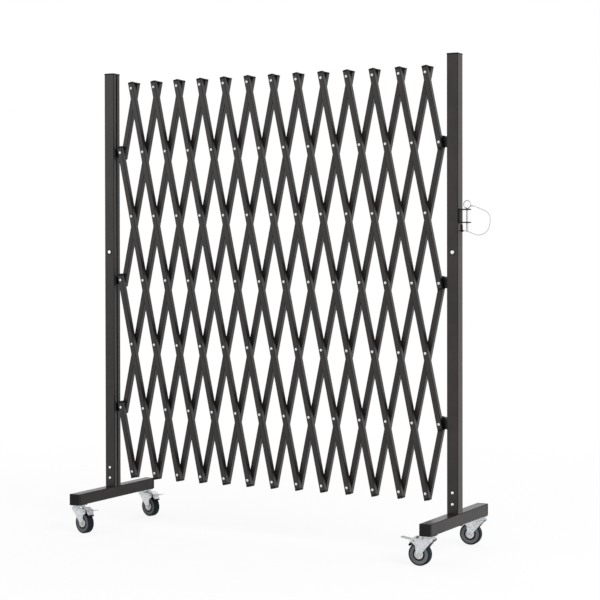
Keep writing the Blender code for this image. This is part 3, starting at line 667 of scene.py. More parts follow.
def plated(name, dull, bright, edge, roughness, spangle_scale):
    """Plated or drawn metal: crystals from dull to bright, toned edges and soft scuffs."""
    finish, tree, shader = open_finish(name, 1.0)
    share = use_effect(tree, "spangle", {"Scale": spangle_scale})
    toned = use_effect(tree, "edge", {
        "Colour": mix_colours(tree, share, tint(dull), tint(bright)),
        "Edge Colour": tint(edge),
        "Amount": METAL_EDGE_AMOUNT,
        "Scale": METAL_EDGE_SCALE,
    })
    height = use_effect(tree, "grain", {"Scale": SCUFF_SCALE, "Detail": SCUFF_DETAIL})
    spread = (roughness + METAL_SPREAD[0], roughness + METAL_SPREAD[1])
    dress_shader(tree, shader, toned, height, spread, METAL_RELIEF, SCUFF_DEPTH)
    return finish


def stranded_wire():
    """Grey coated wire rope: strands that wind round the cable, with painted shade in their grooves."""
    finish, tree, shader = open_finish("cable_grey_strands", 0.0)
    place = result(tree, "ShaderNodeUVMap", uv_map="strand")
    split = add_node(tree, "ShaderNodeSeparateXYZ", {"Vector": place}).outputs
    wound = maths(tree, "ADD", maths(tree, "MULTIPLY", split["X"], 1 / LANYARD_LAY), split["Y"])
    ridge = maths(tree, "PINGPONG", maths(tree, "MULTIPLY", wound, LANYARD_STRANDS), 0.5)
    height = remap(tree, ridge, 0.0, 0.5)
    # The grooves between strands are painted darker, as painted shade
    colour = mix_colours(tree, height, tint(GROOVE_PAINTED_SHADE), tint(STRAND_GREY))
    dress_shader(tree, shader, colour, height, STRAND_ROUGHNESS, STRAND_RELIEF, STRAND_DEPTH)
    return finish


FINISHES = {"wire": stranded_wire()}
for make, table in ((coated, COATS), (plated, METALS)):
    for finish, (slot, *row) in table.items():
        FINISHES[finish] = make(*row)
# Coats whose edge roundings take the painted dark outline
PAINTED_OUTLINE_FINISHES = {"powder_coat": "coat_edge", "beam_coat": "coat_edge"}


# Mesh building: outlines and profiles are lists of places, and a solid is a stack of rings of corners

def quarter_turn(steps):
    """The angles of a quarter turn at an even step, from nought."""
    return [math.pi / 2 * step / steps for step in range(steps + 1)]


def rounded(half_x, half_y, radius, centre=(0, 0), steps=CORNER_STEPS):
    """The outline of a rectangle with round corners, anticlockwise."""
    points = []
    for quarter, (side_x, side_y) in enumerate(((1, 1), (-1, 1), (-1, -1), (1, -1))):
        for step in range(steps + 1):
            angle = math.pi / 2 * (quarter + step / steps)
            x = centre[0] + side_x * (half_x - radius) + radius * math.cos(angle)
            y = centre[1] + side_y * (half_y - radius) + radius * math.sin(angle)
            points.append((x, y))
    return points


def circle(radius, sides, centre=(0, 0)):
    """The corners of a regular polygon, anticlockwise."""
    points = []
    for count in range(sides):
        angle = 2 * math.pi * count / sides
        points.append((centre[0] + radius * math.cos(angle), centre[1] + radius * math.sin(angle)))
    return points


def barrel(radius, end_radius, low, high, edge):
    """The profile of a round bar with tapered ends."""
    return [(end_radius, low), (radius, low + edge), (radius, high - edge), (end_radius, high)]


def peg(radius, low, high):
    """The profile of a pin with a chamfer at its far end."""
    return [(radius, low), (radius, high - FINE_EDGE), (radius - FINE_EDGE, high)]


def rounded_corner(before, corner, after, radius):
    """The arc that replaces one corner of an outline."""
    into = (Vector(before) - Vector(corner)).normalized()
    away = (Vector(after) - Vector(corner)).normalized()
    half = math.acos(max(-1.0, min(1.0, into.dot(away)))) / 2
    reach = radius / math.tan(half)
    centre = Vector(corner) + (into + away).normalized() * (radius / math.sin(half))
    start = Vector(corner) + into * reach - centre
    end = Vector(corner) + away * reach - centre
    sweep = start.angle_signed(end)
    points = []
    for step in range(CORNER_STEPS + 1):
        points.append(tuple(centre + Matrix.Rotation(-sweep * step / CORNER_STEPS, 2) @ start))
    return points


def soften_outline(outline, radius, corners):
    """An outline whose numbered corners are rounded."""
    points = []
    for index, corner in enumerate(outline):
        if index in corners:
            after = outline[(index + 1) % len(outline)]
            points.extend(rounded_corner(outline[index - 1], corner, after, radius))
        else:
            points.append(corner)
    return points


def anticlockwise(outline):
    """The outline in the order that keeps its inside on the left."""
    area = 0.0
    for (x, y), (next_x, next_y) in zip(outline, outline[1:] + outline[:1]):
        area += x * next_y - next_x * y
    return list(outline) if area > 0 else list(reversed(outline))


def inset(outline, distance):
    """An outline moved inwards, corner by corner."""
    moved = []
    for before, corner, after in zip(outline[-1:] + outline[:-1], outline, outline[1:] + outline[:1]):
        first = (Vector(corner) - Vector(before)).normalized()
        second = (Vector(after) - Vector(corner)).normalized()
        left = Vector((-first.y, first.x))
        inward = (left + Vector((-second.y, second.x))).normalized()
        moved.append(tuple(Vector(corner) + inward * (distance / max(inward.dot(left), SHARPEST_INSET))))
    return moved


def lift(outline, along, axis):
    """An outline put across an axis, at a place along it."""
    ring = []
    for point in outline:
        corner = list(point)
        corner.insert("XYZ".index(axis), along)
        ring.append(Vector(corner))
    return ring


def slab(outline, start, end, axis, edge):
    """A plate with chamfered edges: an outline taken along an axis."""
    outline = anticlockwise(outline)
    low, high = sorted((start, end))
    small = inset(outline, edge)
    levels = ((small, low), (outline, low + edge), (outline, high - edge), (small, high))
    return [lift(ring, along, axis) for ring, along in levels]


def turned(profile, sides, axis, centre=(0, 0)):
    """A profile of radius and place along an axis, turned round that axis."""
    return [lift(circle(radius, sides, centre), along, axis) for radius, along in profile]


def shaped(solids, place=Matrix.Identity(4), hoops=()):
    """One mesh of solids with capped ends and hoops with joined ends, put in its place."""
    work = bmesh.new()
    for count, rings in enumerate([*solids, *hoops]):
        rows = [[work.verts.new(point) for point in ring] for ring in rings]
        if count < len(solids):
            work.faces.new(rows[0])
            work.faces.new(rows[-1])
        else:
            rows.append(rows[0])
        for near, far in zip(rows, rows[1:]):
            join(work, near, far)
    mesh = outward_mesh(work, "shape")
    mesh.transform(place)
    return mesh


def mark_edges(mesh, painted_side_shade):
    """Note the narrow faces that round off an edge, and the side faces that take painted shade, for the
    finishes.
    """
    marks = []
    for face in mesh.polygons:
        corners = [mesh.vertices[index].co for index in face.vertices]
        longest = max((b - a).length for a, b in zip(corners, corners[1:] + corners[:1]))
        narrow = face.area / longest < EDGE_FACE_WIDTH and longest > EDGE_FACE_WIDTH
        sideways = abs(face.normal.y) < FLAT_TO_SIDE
        # Sideways faces get a share of painted shade, which pulls them toward the edge colour
        marks.append(1.0 if narrow else painted_side_shade * sideways)
    layer = mesh.attributes.new("edge", "FLOAT", "FACE")
    layer.data.foreach_set("value", marks)


def modified(mesh, kind, prepare):
    """The plain mesh that a modifier makes of a mesh, once the modifier is prepared."""
    carrier = in_scene("carrier", mesh)
    prepare(carrier.modifiers.new("step", kind))
    graph = bpy.context.evaluated_depsgraph_get()
    plain = bpy.data.meshes.new_from_object(carrier.evaluated_get(graph))
    bpy.data.objects.remove(carrier, do_unlink=True)
    return plain


def even_shading(mesh):
    """The mesh with its rounded edges shaded smooth and its flats kept flat."""
    mesh.shade_smooth()
    mesh.set_sharp_from_angle(angle=SHADE_ANGLE)
    return modified(mesh, "WEIGHTED_NORMAL", lambda step: setattr(step, "keep_sharp", True))


def show(name, mesh, finish, body, *nodes, painted_side_shade=0.0):
    """Show a finished mesh as a piece that rides on a body and stands for CAD nodes."""
    mark_edges(mesh, painted_side_shade)
    mesh = even_shading(mesh)
    mesh.name = name
    mesh.materials.clear()
    mesh.materials.append(FINISHES[finish])
    # The edge roundings of coated pieces get the painted dark outline finish
    if finish in PAINTED_OUTLINE_FINISHES:
        mesh.materials.append(FINISHES[PAINTED_OUTLINE_FINISHES[finish]])
        for face, mark in zip(mesh.polygons, mesh.attributes["edge"].data):
            face.material_index = 1 if mark.value == 1.0 else 0
    made = in_scene(name, mesh)
    if nodes:
        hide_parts(*nodes)
    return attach(made, body)


# Trees that make what the lattice repeats

def bar_profile(tree, given, proud):
    """The rounded section that tubes and plugs share."""
    section = result(tree, "GeometryNodeCurvePrimitiveQuadrilateral", {
        "Width": maths(tree, "ADD", given["Depth"], proud),
        "Height": maths(tree, "ADD", given["Width"], proud),
    }, mode="RECTANGLE")
    return result(tree, "GeometryNodeFilletCurve", {
        "Curve": section, "Count": given["Corner Steps"], "Radius": given["Corner"],
    }, mode="POLY")


def upright(tree, height, section):
    """A section taken along Z about zero, over the given height."""
    start = vector(tree, Z=maths(tree, "MULTIPLY", height, -0.5))
    end = vector(tree, Z=maths(tree, "MULTIPLY", height, 0.5))
    line = result(tree, "GeometryNodeCurvePrimitiveLine", {"Start": start, "End": end}, mode="POINTS")
    return result(tree, "GeometryNodeCurveToMesh", {
        "Curve": line, "Profile Curve": section, "Fill Caps": True,
    })


def row_of(tree, shape, count, start, offset, turn=(0, 0, 0)):
    """A shape repeated along a line of places."""
    places = result(tree, "GeometryNodeMeshLine", {
        "Count": count, "Start Location": start, "Offset": offset,
    }, mode="OFFSET")
    values = {"Points": places, "Instance": shape, "Rotation": turn}
    return result(tree, "GeometryNodeInstanceOnPoints", values)


def realized(tree, given, shape):
    """A tree's shape as real geometry in its material."""
    real = result(tree, "GeometryNodeRealizeInstances", {"Geometry": shape})
    return result(tree, "GeometryNodeSetMaterial", {"Geometry": real, "Material": given["Material"]})


def tube(tree, given):
    """A bar's tube between its two plugs."""
    ends = maths(tree, "MULTIPLY", given["Plug Length"], 2.0)
    length = maths(tree, "SUBTRACT", given["Span"], ends)
    return realized(tree, given, upright(tree, length, bar_profile(tree, given, 0.0)))


def plugs(tree, given):
    """The two end plugs of a bar, each with a chamfered end."""
    edges = maths(tree, "MULTIPLY", given["Plug Edge"], 2.0)
    straight = maths(tree, "SUBTRACT", given["Plug Length"], edges)
    plug = upright(tree, straight, bar_profile(tree, given, given["Plug Proud"]))
    facing = result(tree, "GeometryNodeInputNormal")
    height = result(tree, "ShaderNodeSeparateXYZ", {"Vector": facing}, "Z")
    level = maths(tree, "ABSOLUTE", height)
    ends = result(tree, "FunctionNodeCompare", {0: level, 1: END_FACING}, operation="GREATER_THAN")
    raised = add_node(tree, "GeometryNodeExtrudeMesh", {
        "Mesh": plug, "Selection": ends, "Offset Scale": given["Plug Edge"],
    }, mode="FACES").outputs
    tapered = result(tree, "GeometryNodeScaleElements", {
        "Geometry": raised["Mesh"], "Selection": raised["Top"], "Scale": given["Plug End Share"],
    }, domain="FACE")
    between = maths(tree, "SUBTRACT", given["Span"], given["Plug Length"])
    start = vector(tree, Z=maths(tree, "MULTIPLY", between, -0.5))
    return realized(tree, given, row_of(tree, tapered, 2, start, vector(tree, Z=between)))


def studs(tree, given):
    """A row of round studs down a bar, such as rivet heads, the dark rims round them or spacers."""
    disc = result(tree, "GeometryNodeMeshCylinder", {
        "Vertices": given["Sides"],
        "Side Segments": 1,
        "Fill Segments": given["Rings"],
        "Radius": given["Radius"],
        "Depth": given["Height"],
    }, "Mesh", fill_type="TRIANGLE_FAN")
    place = result(tree, "GeometryNodeInputPosition")
    split = add_node(tree, "ShaderNodeSeparateXYZ", {"Vector": place}).outputs
    flat = vector(tree, X=split["X"], Y=split["Y"])
    reach = result(tree, "ShaderNodeVectorMath", {0: flat}, "Value", operation="LENGTH")
    share = maths(tree, "DIVIDE", reach, given["Radius"])
    crown = maths(tree, "SUBTRACT", 1.0, maths(tree, "POWER", share, 2.0))
    rise = maths(tree, "MULTIPLY", crown, given["Dome"])
    upper = result(tree, "FunctionNodeCompare", {0: split["Z"], 1: 0.0}, operation="GREATER_THAN")
    domed = result(tree, "GeometryNodeSetPosition", {
        "Geometry": disc, "Selection": upper, "Offset": vector(tree, Z=rise),
    })
    seat = vector(tree, Z=maths(tree, "MULTIPLY", given["Height"], 0.5))
    seated = result(tree, "GeometryNodeTransform", {"Geometry": domed, "Translation": seat})
    gaps = maths(tree, "SUBTRACT", given["Count"], 1.0)
    span = maths(tree, "MULTIPLY", gaps, given["Spacing"])
    start = vector(tree, Y=given["Face"], Z=maths(tree, "MULTIPLY", span, 0.5))
    step = vector(tree, Z=maths(tree, "MULTIPLY", given["Spacing"], -1.0))
    row = row_of(tree, seated, given["Count"], start, step, vector(tree, X=given["Turn"]))
    return realized(tree, given, row)


BAR_INPUTS = (
    "Span", "Width", "Depth", "Corner", "Corner Steps",
    "Plug Length", "Plug Edge", "Plug End Share", "Plug Proud", "Material",
)
STUD_INPUTS = (
    "Count", "Spacing", "Face", "Turn", "Radius", "Height", "Dome", "Sides", "Rings", "Material",
)
TREES = {
    "tube": new_tree("bar_tube", "GeometryNodeTree", BAR_INPUTS, "Geometry", tube),
    "plugs": new_tree("bar_plugs", "GeometryNodeTree", BAR_INPUTS, "Geometry", plugs),
    "studs": new_tree("bar_studs", "GeometryNodeTree", STUD_INPUTS, "Geometry", studs),
}


def grown(tree_name, values, finish):
    """The plain mesh that a tree makes from its named inputs."""
    tree = TREES[tree_name]

    def prepare(step):
        step.node_group = tree
        for item in tree.interface.items_tree:
            if item.in_out == "INPUT":
                step[item.identifier] = FINISHES[finish] if item.name == "Material" else values[item.name]

    return modified(bpy.data.meshes.new("carrier"), "NODES", prepare)


# Lattice

def bar_set(count, front):
    """The meshes of a bar with the given number of pivots, about its middle: part, mesh, finish."""
    sizes = {
        "Span": (count - 1) * PIVOT_PITCH + BAR_OVERHANG * 2,
        "Width": BAR_WIDTH,
        "Depth": BAR_DEPTH,
        "Corner": BAR_CORNER,
        "Corner Steps": BAR_CORNER_STEPS,
        "Plug Length": PLUG_LENGTH,
        "Plug Edge": PLUG_EDGE,
        "Plug End Share": PLUG_END_SHARE,
        "Plug Proud": PLUG_PROUD,
    }
    middle = (-1 if front else 1) * (LAYER_FACE + BAR_DEPTH / 2)
    parts = []
    for part, finish in (("tube", "powder_coat"), ("plugs", "black_plastic")):
        mesh = grown(part, sizes, finish)
        mesh.transform(Matrix.Translation((0, middle, 0)))
        parts.append((part, mesh, finish))
    for part, face, turn, radius, height, dome, finish in FRONT_STUDS if front else BACK_STUDS:
        sizes = {
            "Count": count,
            "Spacing": PIVOT_PITCH,
            "Face": face,
            "Turn": turn,
            "Radius": radius,
            "Height": height,
            "Dome": dome,
            "Sides": STUD_SIDES,
            "Rings": STUD_RINGS,
        }
        parts.append((part, grown("studs", sizes, finish), finish))
    return parts


def dress_lattice():
    """Every bar of the lattice, with its plugs and rivets, where its CAD node stands."""
    sets = {}
    for node in sorted(frame["nodes"]):
        front = node.startswith("front_bar")
        if not front and not node.startswith("back_bar"):
            continue
        low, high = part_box(node)
        span = (high.z - low.z - BAR_WIDTH * math.sin(BAR_LEAN)) / math.cos(BAR_LEAN)
        count = round((span - BAR_OVERHANG * 2) / PIVOT_PITCH) + 1
        if (count, front) not in sets:
            sets[count, front] = bar_set(count, front)
        lean = -BAR_LEAN if front else BAR_LEAN
        middle = (low + high) / 2
        place = Matrix.Translation((middle.x, 0, middle.z)) @ Matrix.Rotation(lean, 4, "Y")
        for part, pattern, finish in sets[count, front]:
            mesh = pattern.copy()
            mesh.transform(place)
            # The tubes' sides get painted shade
            painted_side_shade = BAR_SIDE_PAINTED_SHADE if part == "tube" else 0.0
            show(f"{node}_{part}", mesh, finish, node, node, painted_side_shade=painted_side_shade)


# Posts and beams

def post_section(side):
    """A post's slotted section with round outer corners."""
    slot = POST_SLOT / 2

    def open_square(half):
        return [(-half, slot), (-half, half), (half, half), (half, -half), (-half, -half), (-half, -slot)]

    outline = open_square(POST_SIDE / 2) + open_square(POST_SIDE / 2 - POST_WALL)[::-1]
    return soften_outline([(side * x, y) for x, y in outline], POST_CORNER, (1, 2, 3, 4))


def face_studs(radius, height, dome, x, heights):
    """Domed studs on a post's front face, at the given heights."""
    face = -POST_SIDE / 2
    profile = [(radius, face), (radius, face - height)]
    for angle in quarter_turn(DOME_STEPS)[1:-1]:
        profile.append((radius * math.cos(angle), face - height - dome * math.sin(angle)))
    return shaped([turned(profile, ROUND_SIDES, "Y", (x, z)) for z in heights])


def cap_mesh(place):
    """A post's cap: lip, soft dome and the spigot in the post."""
    half = POST_SIDE / 2 + CAP_LIP
    levels = [(half - FINE_EDGE, SEAT), (half, SEAT + FINE_EDGE)]
    for angle in quarter_turn(DOME_STEPS):
        levels.append((half - CAP_DOME * 2 * (1 - math.cos(angle)), CAP_RIM + CAP_DOME * math.sin(angle)))
    cap = [lift(rounded(reach, reach, POST_CORNER), along, "Z") for reach, along in levels]
    spigot = rounded(SPIGOT_HALF, SPIGOT_HALF, POST_WALL)
    return shaped([cap, slab(spigot, -CAP_SPIGOT, SEAT + HAIR, "Z", FINE_EDGE)], place)


def dress_posts():
    """Both posts with their caps, bolts and black bolt rings."""
    for side_name, side in SIDES:
        node = f"post_{side_name}"
        body = f"{side_name}_end"
        low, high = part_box(node)
        x = low.x + POST_SIDE / 2
        section = post_section(side)
        tube_rings = [lift(section, low.z, "Z"), lift(section, high.z, "Z")]
        show(f"{node}_tube", shaped([tube_rings], Matrix.Translation((x, 0, 0))), "powder_coat", body, node)
        for level, radius, ring_radius, heights in POST_BOLTS:
            ring = face_studs(ring_radius, BOLT_RING_HEIGHT / 2, BOLT_RING_HEIGHT / 2, x, heights)
            show(f"{node}_{level}_bolt_rings", ring, "black_plastic", body, node)
            head = face_studs(radius, BOLT_HEIGHT, BOLT_DOME, x, heights)
            show(f"{node}_{level}_bolts", head, "bright_heads", body, node)
        cap = f"post_cap_{side_name}"
        show(f"{cap}_moulding", cap_mesh(Matrix.Translation((x, 0, high.z))), "black_plastic", body, cap)


def caster_plates(side_name):
    """Both caster plates of a beam, with their screws."""
    under = CASTER_HEIGHT - PLATE_THICKNESS
    half = PLATE_SIDE / 2
    reach = half - PLATE_SCREW_INSET
    screw = [
        (PLATE_SCREW_RADIUS, under + HAIR),
        (PLATE_SCREW_RADIUS, under - PLATE_SCREW_RIM),
        (PLATE_SCREW_RADIUS / 2, under - PLATE_SCREW_CROWN),
    ]
    solids = []
    for end_name in ENDS:
        x, y = swivel_axis(f"{end_name}_{side_name}")
        solids.append(slab(rounded(half, half, PLATE_CORNER, (x, y)), under, CASTER_HEIGHT, "Z", FINE_EDGE))
        for side_x in (-1, 1):
            for side_y in (-1, 1):
                solids.append(turned(screw, STUD_SIDES, "Z", (x + side_x * reach, y + side_y * reach)))
    return solids


def dress_beams():
    """Both base beams with their end caps, caster plates and post spigots."""
    half = BEAM_SIDE / 2
    end = BEAM_LENGTH / 2
    z = CASTER_HEIGHT + half
    for side_name, _ in SIDES:
        node = f"base_beam_{side_name}"
        low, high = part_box(node)
        x = (low.x + high.x) / 2
        outline = rounded(half, half, BEAM_CORNER, (x, z))
        spigot = rounded(SPIGOT_HALF, SPIGOT_HALF, POST_WALL, (x, 0))
        steel = [
            slab(outline, BEAM_CAP - end, end - BEAM_CAP, "Y", HAIR),
            slab(spigot, z, z + half + SPIGOT_LENGTH, "Z", FINE_EDGE),
        ]
        caps = [slab(outline, way * (end - BEAM_CAP), way * end, "Y", BEAM_CAP_EDGE) for way in (-1, 1)]
        body = f"{side_name}_end"
        show(f"{node}_tube", shaped(steel), "beam_coat", body, node)
        show(f"{node}_end_caps", shaped(caps), "black_plastic", body, node)
        show(f"{node}_caster_plates", shaped(caster_plates(side_name)), "zinc", body, node)


# Brackets and latch

def dress_bracket(node, body, side_name, side):
    """A bracket or slider: lug between the layers, block, neck and the retainer in the slot."""
    low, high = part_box(node)
    z = (low.z + high.z) / 2
    pivot = high.x - LUG_END if side < 0 else low.x + LUG_END
    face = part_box(f"post_{side_name}")[0].x + (POST_SIDE if side < 0 else 0)
    block = face - side * BLOCK_THICKNESS
    key = face + side * (POST_WALL + SEAT)
    near, far = pivot - side * LUG_END, block + side * HAIR
    foot, top = z - LUG_HEIGHT / 2, z + LUG_HEIGHT / 2
    lug = soften_outline([(near, foot), (far, foot), (far, top), (near, top)], LUG_CORNER, (0, 3))
    pad = rounded(BLOCK_WIDTH / 2, BLOCK_HEIGHT / 2, BLOCK_CORNER, (0, z))
    neck = rounded(POST_SLOT / 2 - SEAT, NECK_HEIGHT / 2, NECK_CORNER, (0, z))
    retainer = rounded(RETAINER_WIDTH / 2, RETAINER_HEIGHT / 2, RETAINER_CORNER, (0, z))
    forging = shaped([
        slab(lug, -LUG_HALF, LUG_HALF, "Y", SLIM_EDGE),
        slab(pad, block, face - side * SEAT, "X", BRACKET_EDGE),
        slab(neck, face - side * FINE_EDGE, key + side * FINE_EDGE, "X", HAIR),
        slab(retainer, key, key + side * RETAINER_THICKNESS, "X", SLIM_EDGE),
    ])
    show(f"{node}_forging", forging, "black_bracket", body, node)


def dress_brackets():
    """The middle brackets and the sliders of both posts."""
    for side_name, side in SIDES:
        dress_bracket(f"bracket_{side_name}_middle", f"{side_name}_end", side_name, side)
        for level in ("upper", "lower"):
            slider = f"slider_{side_name}_{level}"
            dress_bracket(slider, slider, side_name, side)


def keeper_mesh(face):
    """The keeper: a plate on the post and two lugs with round outer corners."""
    half = KEEPER_WIDTH / 2 - FINE_EDGE
    root = face + KEEPER_BASE - SLIM_EDGE
    tip = root + KEEPER_REACH - KEEPER_BASE
    plan = soften_outline([(root, -half), (tip, -half), (tip, half), (root, half)], KEEPER_CORNER, (1, 2))
    base_half = (LUG_SPACING + KEEPER_LUG) / 2 + KEEPER_MARGIN
    plate = rounded(KEEPER_WIDTH / 2, base_half, BLOCK_CORNER, (0, LATCH_HEIGHT))
    solids = [slab(plate, face + SEAT, face + KEEPER_BASE, "X", KEEPER_EDGE)]
    for z in (LATCH_HEIGHT - LUG_SPACING / 2, LATCH_HEIGHT + LUG_SPACING / 2):
        solids.append(slab(plan, z - KEEPER_LUG / 2, z + KEEPER_LUG / 2, "Z", KEEPER_EDGE))
    return shaped(solids)


def latch_pin_mesh(face):
    """The latch pin with its collar, pull ring and the ferrule that holds the lanyard."""
    x = face + PIN_OFFSET
    collar_foot = LATCH_HEIGHT + LUG_SPACING / 2 + KEEPER_LUG / 2 + SEAT
    top = collar_foot + COLLAR_HEIGHT
    foot = top - PIN_LENGTH
    stem = [(PIN_RADIUS / 2, foot), (PIN_RADIUS, foot + PIN_TIP), (PIN_RADIUS, top - FINE_EDGE)]
    collar = barrel(COLLAR_RADIUS, COLLAR_RADIUS - FINE_EDGE, collar_foot, top, FINE_EDGE)
    start, end = x + FERRULE_START, x + FERRULE_END
    ferrule = barrel(FERRULE_RADIUS, FERRULE_RADIUS - FINE_EDGE, start, end, FINE_EDGE)
    centre = Vector((x, 0, RING_CENTRE_HEIGHT))
    ring = []
    for across, up in circle(1, RING_STEPS):
        outward = Vector((across, 0, up))
        wire = circle(RING_WIRE, WIRE_SIDES)
        ring.append([centre + outward * (RING_RADIUS + a) + Vector((0, b, 0)) for a, b in wire])
    return shaped([
        turned(stem, ROUND_SIDES, "Z", (x, 0)),
        turned(collar, ROUND_SIDES, "Z", (x, 0)),
        turned(ferrule, ROUND_SIDES, "X", (0, RING_CENTRE_HEIGHT - FERRULE_DROP)),
    ], hoops=[ring])


def anchor_mesh(face):
    """The lanyard's anchor: a plate on the post and a boss."""
    z = RING_CENTRE_HEIGHT - ANCHOR_DROP
    middle = (ANCHOR_BACK, z + ANCHOR_PLATE_RISE)
    plate = rounded(ANCHOR_PLATE_WIDTH / 2, ANCHOR_PLATE_HEIGHT / 2, ANCHOR_RADIUS, middle)
    boss = peg(ANCHOR_RADIUS, face + SEAT * 2, face + ANCHOR_LENGTH)
    return shaped([
        slab(plate, face + SEAT, face + ANCHOR_PLATE_THICKNESS, "X", FINE_EDGE),
        turned(boss, ROUND_SIDES, "X", (ANCHOR_BACK, z)),
    ])


def dress_latch():
    """The keeper, the pin with its pull ring, and the anchor."""
    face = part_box("post_right")[0].x + POST_SIDE
    show("latch_keeper_bracket", keeper_mesh(face), "black_bracket", "right_end", "latch_keeper")
    show("latch_pin_and_ring", latch_pin_mesh(face), "steel", "latch_pin", "latch_pin")
    show("latch_lanyard_anchor", anchor_mesh(face), "black_plastic", "right_end")


# Casters

def joint_place(name):
    """Where a joint's axis stands at rest."""
    return next(Vector(joint["pos_m"]) for joint in frame["joints"] if joint["name"] == name)


def swivel_axis(corner):
    """Where a caster's swivel axis meets the floor."""
    return joint_place(f"caster_swivel_{corner}").xy


def caster_place(corner):
    """The place of a caster, whose own X is its trailing direction."""
    x, y = swivel_axis(corner)
    axle = joint_place(f"caster_roll_{corner}")
    turn = math.atan2(axle.y - y, axle.x - x)
    return Matrix.Translation((x, y, 0)) @ Matrix.Rotation(turn, 4, "Z")


def leg_outline():
    """The side outline of a fork's leg, with round corners at the foot and the pedal's ear."""
    half = LEG_FOOT_WIDTH / 2
    foot = WHEEL_RADIUS - LEG_FOOT_DROP
    outline = [
        (-CROWN_FRONT, CROWN_TOP - FINE_EDGE), (-CROWN_FRONT, CROWN_TOP - LEG_FRONT_DROP),
        (-CROWN_FRONT + LEG_TAPER_INSET, CROWN_TOP - LEG_TAPER_DROP), (TRAIL - half, WHEEL_RADIUS),
        (TRAIL - half, foot), (TRAIL + half, foot),
        (TRAIL + half, WHEEL_RADIUS), (LEG_WAIST_OUT, LEG_WAIST_HEIGHT),
        (PEDAL_PIVOT_OUT + LEG_EAR, PEDAL_PIVOT_HEIGHT - LEG_EAR),
        (PEDAL_PIVOT_OUT + LEG_EAR, PEDAL_PIVOT_HEIGHT + LEG_EAR / 2),
        (PEDAL_PIVOT_OUT, PEDAL_PIVOT_HEIGHT + LEG_EAR), (CROWN_REAR, CROWN_TOP - FINE_EDGE),
    ]
    outline = soften_outline(outline, LEG_EAR / 4, (7, 8, 9, 10))
    return soften_outline(outline, LEG_FOOT_CORNER, (4, 5))


def fork_mesh(place):
    """A caster's pressed fork: crown, two ribbed legs, bearing housing, king pin and axle nuts."""
    outer = FORK_INNER_HALF + LEG_THICKNESS
    leg = leg_outline()
    rib = soften_outline(RIB_OUTLINE, RIB_CORNER, range(len(RIB_OUTLINE)))
    crown = [(-CROWN_FRONT, -outer), (CROWN_REAR, -outer), (CROWN_REAR, outer), (-CROWN_FRONT, outer)]
    crown = soften_outline(crown, LEG_THICKNESS, range(4))
    solids = [slab(crown, CROWN_TOP - CROWN_THICKNESS, CROWN_TOP, "Z", LEG_EDGE)]
    for side in (-1, 1):
        solids.append(slab(leg, side * FORK_INNER_HALF, side * outer, "Y", LEG_EDGE))
        solids.append(slab(rib, side * (outer - LEG_EDGE), side * (outer + RIB_HEIGHT), "Y", RIB_EDGE))
    top = CASTER_HEIGHT - PLATE_THICKNESS - SEAT
    middle = (CROWN_TOP + top) / 2
    groove = HOUSING_RADIUS - HOUSING_GROOVE
    housing = [
        (HOUSING_RADIUS, CROWN_TOP - FINE_EDGE), (HOUSING_RADIUS, middle - GROOVE_MOUTH),
        (groove, middle - GROOVE_MOUTH / 2), (groove, middle + GROOVE_MOUTH / 2),
        (HOUSING_RADIUS, middle + GROOVE_MOUTH), (HOUSING_RADIUS, top - FINE_EDGE),
        (HOUSING_RADIUS - FINE_EDGE, top),
    ]
    king_nut = [(KING_NUT_RADIUS, KING_NUT_FOOT), (KING_NUT_RADIUS, KING_NUT_FOOT + KING_NUT_HEIGHT)]
    axle = [(AXLE_RADIUS, -outer), (AXLE_RADIUS, outer)]
    centre = (TRAIL, WHEEL_RADIUS)
    solids += [
        turned(housing, ROUND_SIDES * 2, "Z"),
        turned(peg(KING_PIN_RADIUS, CROWN_TOP, KING_PIN_TOP), ROUND_SIDES, "Z"),
        turned(king_nut, AXLE_NUT_SIDES, "Z"),
        turned(axle, ROUND_SIDES, "Y", centre),
    ]
    seat = outer + RIB_HEIGHT - HAIR
    nut_end = outer + AXLE_NUT_HEIGHT
    for side in (-1, 1):
        washer = [(AXLE_WASHER_RADIUS, side * (outer - HAIR)), (AXLE_WASHER_RADIUS, side * seat)]
        nut = [
            (AXLE_NUT_RADIUS, side * (seat - HAIR)),
            (AXLE_NUT_RADIUS, side * (nut_end - AXLE_NUT_EDGE)),
            (AXLE_NUT_END_RADIUS, side * nut_end),
        ]
        solids.append(turned(washer, ROUND_SIDES, "Y", centre))
        solids.append(turned(nut, AXLE_NUT_SIDES, "Y", centre))
    return shaped(solids, place)


def fork_dark_mesh(place):
    """The dark parts on a fork: the axle's punched ends and the pedal's pin."""
    outer = FORK_INNER_HALF + LEG_THICKNESS
    nut_end = outer + AXLE_NUT_HEIGHT
    solids = []
    for side in (-1, 1):
        low, high = side * (nut_end - SLIM_EDGE), side * (nut_end + HAIR)
        dimple = [(AXLE_DIMPLE_RADIUS, low), (AXLE_DIMPLE_END_RADIUS, high)]
        solids.append(turned(dimple, STUD_SIDES, "Y", (TRAIL, WHEEL_RADIUS)))
    pin = outer + PEDAL_RIVET_HEIGHT
    rod = barrel(PEDAL_RIVET_RADIUS, PEDAL_RIVET_END_RADIUS, -pin, pin, SLIM_EDGE)
    solids.append(turned(rod, STUD_SIDES, "Y", (PEDAL_PIVOT_OUT, PEDAL_PIVOT_HEIGHT)))
    return shaped(solids, place)


